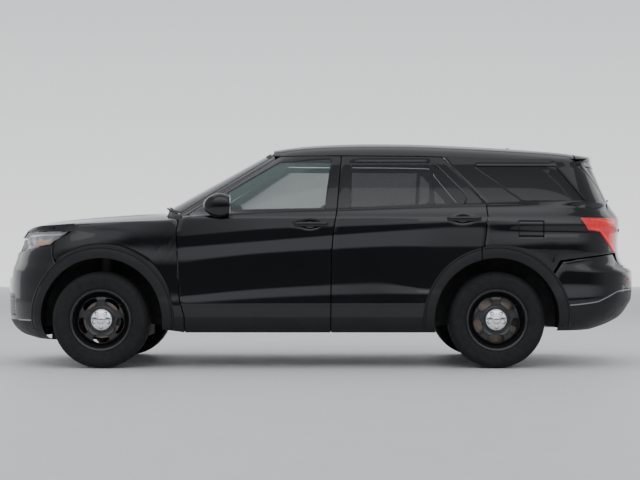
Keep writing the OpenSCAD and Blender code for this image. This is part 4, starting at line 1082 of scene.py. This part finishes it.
def tail_grid(d):
    cols = steps(12, 3)
    out = []
    for t in steps(5, 4):
        z = along(TAIL_ZS, t)
        w = tail_walk(z)
        out.append(full_row([tail_point(w, c, z, d) for c in cols]))
    base = tail_walk(640)
    for t in steps(4, 4)[1:]:
        tip = along(TIPS, t)
        to = walk_to_x(-tip[0] / tail_reach(tip[1]), 12)
        line = []
        for c in cols:
            a = along(base, c) if c <= 4 else blend(base[4], to, (c - 4) / 8)
            top = 766 if c <= 4 else bumper_top(a, bumper_top(a, bumper_top(a, 800)))
            top = blend(766, top, clamp(c - 4)) if c < 5 else top
            z = blend(blend(640, top, t / 4), tip[1], clamp(c - 11))
            line.append(wrapped(-1, a, z, d, along(TAIL_TURNS, c)))
        out.append(full_row(line))
    return out


p, f = sheet(tail_grid(0), tail_grid(18))
piece("rear_bumper_cover", p, f, PAINT, "chassis", ["rear_bumper"], 2.5, more=(TRIM,),
      zone=lambda x, y, z: 1 if z < strip_z(x) else 0)

# ---------------------------------------------------------------- wheel arch flares
FLARE = [(0, -5), (.03, -8), (.07, -9), (.3, -10.5), (.55, -10.5), (.76, -9.5), (.79, -4), (.84, -4), (.87, -8.5),
         (.93, -7.5), (.985, -4), (1.0, -.4)]


def flare(cx, a0, a1, n, r0, back):
    """Band round an arch between two angles, which depend on the radius."""
    out, inn = [], []
    for k in range(n + 1):
        spots = []
        for s, d in FLARE:
            r = blend(r0, 564, s)
            a = radians(blend(a0(r), a1(r), k / n))
            spots.append((cx + r * cos(a), TYRE_R + r * sin(a), d))
        out.append([side_point(x, z, d) for x, z, d in spots])
        inn.append([side_point(x, z, back) for x, z, d in spots])
    return sheet(out, inn)


def at_x(dx):
    return lambda r: degrees(acos(dx / r))


def at_z(z, behind=False):
    def angle(r):
        a = degrees(asin((z - TYRE_R) / r))
        return 180 - a if behind else a
    return angle


def at_fender_foot(r):
    return degrees(atan2(WING[0][1] - TYRE_R, WING[0][0] - FX)) + 360


flares = join(flare(FX, at_z(300), at_fender_foot, 150, ARCH_R, 6),
              flare(RX, at_x(112), at_z(306, True), 110, ARCH_R, 6))
piece("arch_flare_bands", *both(*flares), TRIM, "chassis", ["arch_flares"], 2.0)
pair("door_flare_{}", flare(RX, at_z(277), at_x(124), 60, ARCH_R + 5, 1.5), TRIM, "rear_door_{}", (), 2.0)


def liner(cx, y_in, r=506.0, n=48):
    """Wheel house: an arch with its inner wall."""
    out, inn = [], []
    for k in range(n + 1):
        a = radians(-8 + 196 * k / n)
        c, sn = cos(a), sin(a)
        edge = side_y(cx + r * c, TYRE_R + r * sn) - 24
        spots = [(30, y_in), (r * .5, y_in), (r - 30, y_in), (r - 6, y_in + 8), (r, y_in + 34),
                 (r, blend(y_in, edge, .5)), (r, edge)]
        out.append([(cx + q * c, y, TYRE_R + q * sn) for q, y in spots])
        inn.append([(cx + (q + 3) * c, y - 3, TYRE_R + (q + 3) * sn) for q, y in spots])
    return sheet(out, inn)


piece("wheel_houses", *both(*join(liner(FX, 478.0), liner(RX, 585.0))), UNDER, "chassis")


# ---------------------------------------------------------------- wheels
def evaluated(o):
    """Vertices and faces of an object after its modifiers."""
    dg = bpy.context.evaluated_depsgraph_get()
    m = o.evaluated_get(dg).to_mesh()
    out = [v.co.copy() for v in m.vertices], [tuple(q.vertices) for q in m.polygons]
    o.evaluated_get(dg).to_mesh_clear()
    return out


def drop(o):
    mesh = o.data
    bpy.data.objects.remove(o)
    bpy.data.meshes.remove(mesh)


def cut(points, faces, cutters):
    """Shape less the cutters, as points and faces again."""
    made = []
    for k, (p, f) in enumerate([(points, faces)] + cutters):
        m = bpy.data.meshes.new(f"cut{k}")
        m.from_pydata(p, [], f)
        bm = bmesh.new()
        bm.from_mesh(m)
        bmesh.ops.recalc_face_normals(bm, faces=bm.faces)
        bm.to_mesh(m)
        bm.free()
        made.append(add(f"cut{k}", m))
    for o in made[1:]:
        mod = made[0].modifiers.new("cut", "BOOLEAN")
        mod.object = o
        mod.solver = "EXACT"
    verts, polygons = evaluated(made[0])
    for o in made:
        drop(o)
    return [tuple(v) for v in verts], polygons


def kidney(a0, grow=0.0, n=40):
    """Outline of one opening of the wheel disc."""
    out = []
    for k in range(n):
        t = 2 * pi * k / n
        c, s = cos(t), sin(t)
        r = 147 + (31 + grow) * copysign(abs(s) ** .75, s)
        a = radians(a0) + (62 + grow) / 147 * copysign(abs(c) ** .8, c)
        out.append((r, a))
    return out


def kidney_prism(a0):
    ring = kidney(a0)
    n = len(ring)
    return [(r * cos(a), y, r * sin(a)) for y in (5, 100) for r, a in ring], wraps(2, n) + caps(2, n)


DISC = [(36, 24), (36, 47), (60, 48), (92, 48), (98, 50), (106, 58), (114, 63.5), (130, 66), (150, 66), (166, 64.5),
        (178, 60), (187, 50), (195, 41), (205, 36), (215.5, 33), (215.5, 27), (203, 29), (192, 33), (182, 44),
        (172, 53), (150, 58), (116, 56), (102, 40), (94, 26)]
BARREL = [(214.5, -98), (214.5, 92), (217, 99), (222, 104), (227, 107), (233, 107.5), (236, 105), (235, 100), (230, 97),
          (227.8, 92), (227.8, -92), (230, -97), (236, -105), (233, -107.5), (226, -107), (218, -103)]
HOLES = [54 + 72 * k for k in range(5)]  # angles of the five openings
disc = cut(*lathe(DISC, 144), [kidney_prism(a) for a in HOLES])
disc_y = smooth(sorted([(r, y) for r, y in DISC[:15] if r > 90]))
lips = []
for at in HOLES:
    rim = [(r * cos(a), disc_y(r) - 1.2, r * sin(a)) for r, a in kidney(at, 1.5, 48)]
    lips.append(tube(rim, 3.2, 8, True))
CAP = [(.5, 92.5), (10, 92.3), (20, 91.2), (26, 89.5), (30, 86.5), (32, 83.6), (35, 82.6), (45, 81.4), (58, 79),
       (70, 75.2), (79, 70), (85, 64.5), (89, 59), (91.2, 53), (91.6, 49), (88, 48.3), (.5, 48.3)]
BUMP = [(.3, 8.5), (5, 8.2), (9.5, 6.8), (13, 4.2), (15, .8), (15.5, -2), (.3, -2)]
cap = lathe(CAP, 120)
BUMP_R = 58
bumps = []
for at in HOLES:
    cx, cz = BUMP_R * cos(radians(at)), BUMP_R * sin(radians(at))
    pts, fcs = lathe(BUMP, 32)
    bumps.append(([(x + cx, y + 78.6 - .35 * (hypot(x + cx, z + cz) - BUMP_R), z + cz) for x, y, z in pts], fcs))
valve = tube([(r * cos(2.5), y, r * sin(2.5)) for r, y in ((196, 44), (192, 62), (190, 76))], 4, 10)

# tyre: smooth section with ribs on the wall and a grooved, blocked tread
SECTION = [(229, 92), (236, 107), (244, 113.5), (254, 118), (262, 121.5), (266, 121.2), (280, 123.5), (296, 124.8),
           (308, 125), (322, 123.4), (327, 123.6), (331, 122.4), (340, 118), (349, 111.5), (357, 104), (363, 96.5),
           (366.4, 90)]
TREAD_V = [84, 78, 74, 72.5, 60, 48, 44.5, 43, 37, 35.5, 28, 20, 14.5, 13, 7, 5.5, 0]
tread_v = TREAD_V + [-v for v in reversed(TREAD_V[:-1])]
ring = ([(r, y, 0) for r, y in SECTION] + [(TYRE_R - .00035 * abs(v) ** 2, v, 1) for v in tread_v]
        + [(r, -y, 0) for r, y in reversed(SECTION)])
N_T = 280


def tread_cut(v, k):
    """Depth of the tread at a place across and a step round."""
    a = abs(v)
    if 36 < a < 44 or 6 < a < 14:
        return 7.0
    phase = (k + (3 if v > 0 else 0)) % 7
    if a > 44.5 and phase < 1.6 and a < 79:
        return 6.0
    if 14 < a < 36 and (k + int(a / 9)) % 7 == 5:
        return 4.0
    return 0.0


pts = []
for k, a in enumerate(turns(N_T)):
    for r, y, tread in ring:
        shoulder = 3.0 if 345 < r < 362 and k % 7 < 2 else 0
        r2 = r - (tread_cut(y, k) if tread else shoulder)
        pts.append((r2 * cos(a), y, r2 * sin(a)))
tyre = (pts, wraps(N_T, len(ring), True))
AXLES = (("front", FX), ("rear", RX))
for end, cx in AXLES:
    for side, flip in SIDES:
        at, body = (cx, WHEEL_Y, TYRE_R), f"wheel_{end[0]}{side[0]}"
        for name, (p, f), mat, node in (
                ("tyre_body", tyre, RUBBER, "tyre"), ("wheel_barrel", lathe(BARREL, 120), WHEEL, None),
                ("wheel_disc", disc, WHEEL, "wheel"), ("wheel_lips", join(*lips), WHEEL, None),
                ("wheel_cap", cap, CHROME, "cap"), ("cap_bumps", join(*bumps), CHROME, None),
                ("tyre_valve", valve, SEAL, None)):
            piece(f"{name}_{end}_{side}", moved(p, at, 36 if flip else 0), f, mat, body,
                  [f"{node}_{end}_{side}"] if node else (), 0, flip)

ROTOR = material("brake_steel", (0.20, 0.165, 0.14), 0.42, metal=0.8, grain=200, bump=0.2, patch=12, vary=0.35)
shield = lathe([(60, -48), (60, -43), (204, -43), (207, -45), (204, -48)], 96)
rotor = lathe([(56, -28), (56, -2), (84, -2), (92, -8), (176, -8), (178, -10), (178, -30), (176, -32), (92, -32),
               (84, -28)], 96)


def caliper_grid(y):
    return [[((118 + 66 * u) * cos(a), y, (118 + 66 * u) * sin(a)) for u in (0, .2, .8, 1)]
            for a in (radians(150 + 50 * (k / 10)) for k in range(11))]


caliper = sheet(caliper_grid(2), caliper_grid(-44))
for end, cx in AXLES:
    for side, flip in SIDES:
        at, body = (cx, WHEEL_Y, TYRE_R), f"knuckle_{side}" if end == "front" else "chassis"
        size, out = (.8, 22) if end == "front" else (1, 0)
        for kind, (pts, fcs), mat, bevel in (("rotor", rotor, ROTOR, 0), ("caliper", caliper, CAST, 4.0)):
            pts = [(size * x, y + out, size * z) for x, y, z in pts]
            piece(f"brake_{kind}_{end}_{side}", moved(pts, at), fcs, mat, body, (), bevel, flip)
        if end == "rear":
            piece(f"brake_shield_{side}", moved(shield[0], at), shield[1], UNDER, body, (), 0, flip)


# ---------------------------------------------------------------- mirrors, handles, trims
def power(v, e):
    return copysign(abs(v) ** e, v)


def shell(c, size, ex=.62, rows=28, cols=48, flat=-.72):
    """Rounded mirror shell, flat at the rear."""
    pts = []
    for i in range(rows + 1):
        u = pi * i / rows
        x, wide = max(cos(u), flat), power(sin(u), .8)
        for v in turns(cols):
            y, z = wide * power(cos(v), ex), wide * power(sin(v), ex)
            slim = 1 - .16 * clamp(x) - .10 * clamp(-z) * clamp(-y)
            pts.append((c[0] + size[0] * x - 12 * y, c[1] + size[1] * y * slim - 8 * clamp(x),
                        c[2] + size[2] * z * slim - 4 * clamp(x)))
    return pts, wraps(rows + 1, cols)


MX, MY, MZ = FX - 905, 1058.0, 1243.0
mirror_shell = shell((MX, MY, MZ), (112, 76, 90))
glass_ring = [(power(cos(t), .6), power(sin(t), .6)) for t in turns(40)]


def mirror_grid(x):
    return [[(x - 12 * y * r, MY + 66 * y * r, MZ + 78 * z * r) for y, z in glass_ring + glass_ring[:1]]
            for r in (1, .6, .02)]


mirror_pane = sheet(mirror_grid(MX - 83), mirror_grid(MX - 79))
foot_y = side_y(FX - 880, 1172)
foot = []
for t in (0, .35, .7, 1):
    y, grow = blend(foot_y - 3, MY - 30, t), 1 - .25 * sin(pi * t)
    foot += [(MX + 24 + 44 * grow * cos(a), y, blend(1172, 1186, t) + 17 * grow * sin(a)) for a in turns(24)]
foot_sheet = (foot, wraps(4, 24) + caps(4, 24))
for side, flip in SIDES:
    body = f"front_door_{side}"
    piece(f"mirror_shell_{side}", *mirror_shell, PAINT, body, [f"mirror_{side}"], 0, flip)
    piece(f"mirror_foot_{side}", *foot_sheet, SATIN, body, (), 0, flip)
    piece(f"mirror_pane_{side}", *mirror_pane, MIRROR, body, (), 0, flip)


def handle(hx, hz):
    """Pull handle: a bowed grip that meets the skin at both ends."""
    pts, n = [], 28
    for k in range(n + 1):
        t = k / n
        x = hx - 132 + 264 * t
        lift = 22 * sin(pi * clamp(t * 1.02)) ** .38
        h = 14.5 + 3.5 * sin(pi * t) ** .5
        y = side_y(x, hz) + lift - 5
        pts += [(x, y + 7 * power(cos(a), .7), hz + h * power(sin(a), .7)) for a in turns(20)]
    return pts, wraps(n + 1, 20) + caps(n + 1, 20)


for kind, (hx, hz) in HANDLES.items():
    pair(kind + "_handle_{}", handle(hx, hz), PAINT, kind + "_door_{}")
# belt mouldings along the foot of the side windows
for kind, xs_at, a, b in (("front", front_xs, 2, 6), ("rear", rear_xs, 1, 6)):
    row = (BELT + 26, 1, 46)
    xs = xs_at(row)
    line = [along(xs, a + (b - a) * k / 40) for k in range(41)]
    shape = sheet(*[[[side_point(x, door_z(row, x) + dz, d) for x in line] for dz, d in zip((-12, -9, 2, 6), ds)]
                    for ds in ((-1, -3.2, -3.2, 2), (2, 3, 3, 6))])
    pair(kind + "_belt_moulding_{}", shape, SATIN, kind + "_door_{}")
# bright strips low on both bumpers, and the reflectors over the rear one
nose_cols, nose_base = [5.6 + 4.6 * k / 40 for k in range(41)], nose_walk(362)
tail_cols, tail_base = [11.6 * k / 90 for k in range(91)], tail_walk(500)


def nose_strip(z, d):
    return [nose_point(nose_base, c, z, d) for c in nose_cols]


def tail_strip(dz, d):
    return [tail_point(tail_base, c, strip_z(end_point(-1, along(tail_base, c), 530)[0]) + dz, d) for c in tail_cols]


def mark_row(z, d):
    w = tail_walk(z)
    return [tail_point(w, 2.6 + 1.5 * k / 14, z, d) for k in range(15)]


def raised(row, zs, proud, back):
    """Low bar through rows at the heights zs, proud of the skin between its edges."""
    return sheet([row(z, d) for z, d in zip(zs, (0, -proud, -proud, 0))], [row(z, back) for z in zs])


strips = join(raised(nose_strip, (356, 358, 364, 366), 2.5, 2), raised(tail_strip, (-5, -3, 3, 5), 3, 2))
piece("rear_reflectors", *both(*raised(mark_row, (668, 671, 687, 690), 3, 4)), RED, "chassis", (), 1.0)
piece("bumper_bright_strips", *both(*strips), BRIGHT, "chassis")

# ---------------------------------------------------------------- cabin: headliner, door trims, seats
CLOTH = material("seat_cloth", (0.020, 0.0205, 0.022), 0.85, grain=1400, bump=0.6, patch=14, vary=0.22, sheen=0.35)
LINER = material("headliner_cloth", (0.16, 0.16, 0.155), 0.9, grain=1500, bump=0.4, vary=0.08)
rows, cols = [.4 + t * .95 for t in r_rows], [c * .93 for c in r_cols[::2]]
piece("headliner", *sheet(roof_grid(27, rows, cols), roof_grid(33, rows, cols)), LINER, "chassis")
for kind, xs_at in (("front", front_xs), ("rear", rear_xs)):
    rows, cols = [2 + 11.4 * k / 40 for k in range(41)], [.18 + 6.6 * k / 40 for k in range(41)]
    lo, li = [], []
    for t in rows:
        row = along(DOOR_ROWS, t)
        xs = xs_at(row)
        a, b = [], []
        for c in cols:
            x = along(xs, c)
            z = door_z(row, x)
            rest = 42 * exp(-((z - 800) / 42) ** 2) * clamp((c - 1) / .6) * clamp((6.2 - c) / .6)
            bin_ = 24 * clamp((520 - z) / 60) * clamp((z - 400) / 30) * clamp((c - .8) / .5) * clamp((6.2 - c) / .5)
            a.append(side_point(x, z, 118.5))
            b.append(side_point(x, z, 128 + rest + bin_))
        lo.append(a)
        li.append(b)
    pair(kind + "_door_trim_{}", sheet(lo, li), CABIN, kind + "_door_{}")


def pad(outline, y0, y1, voxel=0.011, limit=0.020, squeeze=9.0, seams=()):
    """Stuffed form from a side outline: remeshed, blown up as cloth, and sewn in along seams."""
    n = len(outline)
    cx, cz = sum(q[0] for q in outline) / n, sum(q[1] for q in outline) / n
    sx, sz = 1 - squeeze / 260, 1 - squeeze / 140
    pts = [(cx + (x - cx) * sx, y, cz + (z - cz) * sz) for y in (y0 + squeeze, y1 - squeeze) for x, z in outline]
    fcs = wraps(2, n) + caps(2, n)
    mesh = bpy.data.meshes.new("pad")
    mesh.from_pydata([(x / 1000, y / 1000, z / 1000) for x, y, z in pts], [], fcs)
    bm = bmesh.new()
    bm.from_mesh(mesh)
    bmesh.ops.recalc_face_normals(bm, faces=bm.faces)
    bmesh.ops.bevel(bm, geom=bm.edges[:], offset=0.022, segments=3, profile=0.6, affect="EDGES", clamp_overlap=True)
    bm.to_mesh(mesh)
    bm.free()
    o = add("pad", mesh)
    mod = o.modifiers.new("remesh", "REMESH")
    mod.mode, mod.voxel_size = "VOXEL", voxel
    verts, faces = evaluated(o)
    o.modifiers.clear()
    mesh.clear_geometry()
    mesh.from_pydata(verts, [], faces)
    mod = o.modifiers.new("cloth", "CLOTH")
    mod.settings.use_pressure = True
    mod.settings.uniform_pressure_force = 4.0
    mod.settings.effector_weights.gravity = 0.0
    mod.settings.quality = 4
    mod.settings.tension_stiffness = mod.settings.compression_stiffness = 14.0
    mod.settings.bending_stiffness = 1.5
    mod.point_cache.frame_start, mod.point_cache.frame_end = 1, 20
    for k in range(1, 21):
        bpy.context.scene.frame_set(k)
    blown, _ = evaluated(o)
    bpy.context.scene.frame_set(1)
    o.modifiers.clear()
    for k, v in enumerate(blown):
        d = v - verts[k]
        verts[k] = verts[k] + d * min(1, limit / max(d.length, 1e-9))
    mesh.clear_geometry()
    mesh.from_pydata(verts, [], faces)
    bm = bmesh.new()
    bm.from_mesh(mesh)
    bmesh.ops.smooth_vert(bm, verts=bm.verts, factor=0.5, use_axis_x=True, use_axis_y=True, use_axis_z=True)
    bm.normal_update()
    for v in bm.verts:
        x, y, z = [1000 * c for c in v.co]
        deep = max([0] + [7 * exp(-(seam(x, y, z) / 7) ** 2) for seam in seams])
        v.co -= v.normal * deep / 1000
    out = ([tuple(1000 * c for c in v.co) for v in bm.verts],
           [tuple(q.index for q in face.verts) for face in bm.faces])
    bm.free()
    drop(o)
    return out


def cushion(name, shape, dy, nodes=()):
    p, f = shape
    o = piece(name, [(x, y + dy, z) for x, y, z in p], f, CLOTH, "chassis", nodes, 0, sharp=70)
    mod = o.modifiers.new("round", "SUBSURF")
    mod.levels = mod.render_levels = 1
    return o


sx, sz = FX - 1580, 470.0
base, rest, head = [[(sx + x, sz + z) for x, z in outline] for outline in (
    ((-20, 8), (250, 12), (500, 34), (518, 88), (470, 128), (250, 118), (60, 104), (-10, 96)),
    ((52, 110), (0, 250), (-50, 420), (-106, 620), (-190, 628), (-150, 420), (-105, 240), (-70, 70), (0, 60)),
    ((-98, 655), (-100, 795), (-168, 805), (-192, 660)))]


def seam_y(c, w):
    return lambda x, y, z: abs(abs(y - c) - w)


def seam_x(at):
    return lambda x, y, z: abs(x - at)


def seam_z(at):
    return lambda x, y, z: abs(z - at)


front_base = pad(base, 130, 630, seams=(seam_y(380, 150), seam_x(sx + 380)))
front_rest = pad(rest, 135, 625, seams=(seam_y(380, 145), seam_z(sz + 470)))
front_head = pad(head, 265, 495, voxel=.009, squeeze=6)
for k, (dy, side) in enumerate(((0, "left"), (-760, "right"))):
    cushion(f"front_cushion_{side}", front_base, dy, ["front_seats"] if k == 0 else ())
    cushion(f"front_backrest_{side}", front_rest, dy)
    cushion(f"front_headrest_{side}", front_head, dy)
    plinth = block((FX - 1535, 205 + dy, 359), (FX - 1185, 555 + dy, 476))
    piece(f"front_seat_plinth_{side}", *plinth, CABIN, "chassis", (), 8.0)
    posts = [tube([(sx - 148, 380 + dy + q, sz + 560), (sx - 146, 380 + dy + q, sz + 690)], 6, 12) for q in (-60, 60)]
    piece(f"headrest_posts_{side}", *join(*posts), REFLECT, "chassis")
rx, rz = RX + 600, 500.0


def move(outline):
    """Outline of a front seat brought to the rear."""
    return [(x - sx + rx, z - sz + rz) for x, z in outline]


bench = pad(move(base), -615, 615, voxel=.014, seams=(seam_y(0, 205), seam_x(rx + 380)))
bench_rest = pad(move(rest), -610, 610, voxel=.014, seams=(seam_y(0, 205), seam_z(rz + 470)))
cushion("rear_cushion", bench, 0, ["rear_seat"])
cushion("rear_backrest", bench_rest, 0)
rear_head = ([(x - sx + rx, y, z - sz + rz) for x, y, z in front_head[0]], front_head[1])
for side, dy in (("left", -10), ("right", -750)):
    cushion(f"rear_headrest_{side}", rear_head, dy)
piece("rear_seat_plinth", *block((RX + 565, -555, 471), (RX + 975, 555, 512)), CABIN, "chassis", (), 8.0)

# ---------------------------------------------------------------- carried-over parts
for names, mat in (
        (("floor_pan", "sills"), UNDER), (("b_pillars", "dashboard", "steering_wheel"), CABIN),
        (("engine", "front_suspension", "rear_suspension", "knuckle_left", "knuckle_right"), CAST),
        (("exhaust",), STEEL), (("grille", "wipers", "roof_antenna", "plate_bracket"), TRIM)):
    for n in names:
        o = bpy.data.objects.get(n)
        if o is None:
            raise RuntimeError("no CAD object " + n)
        o.data.materials.clear()
        o.data.materials.append(mat)


# ---------------------------------------------------------------- floor, light, camera
def stage(name, points, faces, mat):
    m = bpy.data.meshes.new(name)
    m.from_pydata(points, [], faces)
    m.materials.append(mat)
    m.shade_smooth()
    add(name, m)


FLOOR = material("pale_floor", (0.80, 0.80, 0.80), 0.55, grain=40, bump=0.02, vary=0.01)
stage("floor", [(-40, -40, 0), (40, -40, 0), (40, 40, 0), (-40, 40, 0)], [(0, 1, 2, 3)], FLOOR)
# backdrop wall with painted light: its emission glows brightest near the floor and dims higher up, standing in for the
# lit studio wall
WALL = bpy.data.materials.new("glowing_backdrop_wall")
WALL.use_nodes = True
tree = WALL.node_tree
place = tree.nodes.new("ShaderNodeSeparateXYZ")
tree.links.new(tree.nodes.new("ShaderNodeTexCoord").outputs["Object"], place.inputs[0])
fade = put(tree.nodes.new("ShaderNodeMapRange"), From_Min=2.0, From_Max=14.0, To_Min=0.85, To_Max=0.30)
tree.links.new(place.outputs["Z"], fade.inputs["Value"])
white = put(tree.nodes["Principled BSDF"], Base_Color=(0.75, 0.75, 0.75, 1), Emission_Color=(1, 1, 1, 1))
tree.links.new(fade.outputs["Result"], white.inputs["Emission Strength"])
stage("wall", [(-90, -40, 0), (90, -40, 0), (90, -40, 40), (-90, -40, 40)], [(3, 2, 1, 0)], WALL)
# the sky is dark low down only towards +Y, for the bands that the doors mirror
world = bpy.context.scene.world or bpy.data.worlds.new("studio")
bpy.context.scene.world = world
world.use_nodes = True
sky = world.node_tree
high = sky.nodes.new("ShaderNodeSeparateXYZ")
sky.links.new(sky.nodes.new("ShaderNodeTexCoord").outputs["Generated"], high.inputs[0])
side = put(sky.nodes.new("ShaderNodeMapRange"), From_Min=0.45, From_Max=0.80)
sky.links.new(high.outputs["Y"], side.inputs["Value"])
mixed = sky.nodes.new("ShaderNodeMix")
mixed.data_type = "RGBA"
sky.links.new(side.outputs["Result"], mixed.inputs["Factor"])
for socket, greys in ((6, ((0.0, 0.50), (0.3, 0.62), (1.0, 0.40))),
                      (7, ((0.0, 0.08), (0.06, 0.10), (0.16, 1.15), (0.50, 1.45), (1.0, 0.40)))):
    band = sky.nodes.new("ShaderNodeValToRGB")
    for at, grey in greys:
        stops = band.color_ramp.elements
        e = stops[0] if at == 0 else stops[-1] if at == 1 else stops.new(at)
        e.color = (grey * 0.93, grey * 0.96, grey * 1.03, 1)
    sky.links.new(high.outputs["Z"], band.inputs["Fac"])
    sky.links.new(band.outputs["Color"], mixed.inputs[socket])
sky.links.new(mixed.outputs[2], sky.nodes["Background"].inputs["Color"])
put(sky.nodes["Background"], Strength=1.0)


def area(name, at, to, size, power_w):
    light = bpy.data.lights.new(name, "AREA")
    light.shape = "RECTANGLE"
    light.size, light.size_y = size
    light.energy = power_w
    o = add(name, light)
    o.location = at
    o.rotation_mode = "QUATERNION"
    o.rotation_quaternion = (Vector(to) - Vector(at)).to_track_quat("-Z", "Y")


area("top_box", (0, 0, 9.0), (0, 0, 0), (16.0, 10.0), 380)
area("fill_box", (0, 12.0, 9.0), (0, 0, 0.6), (26.0, 8.0), 420)
area("nose_box", (11.0, -5.0, 5.0), (1.5, 0, 0.6), (6.0, 6.0), 110)
area("tail_box", (-11.0, -5.0, 5.0), (-1.5, 0, 0.6), (6.0, 6.0), 110)
cam = add("camera", bpy.data.cameras.new("camera"))
cam.data.lens, cam.data.sensor_width = 85.33, 36.0
cam.location = (0, 12.53, 0.80)
cam.rotation_euler = (radians(90.891), 0, radians(180))
bpy.context.scene.camera = cam
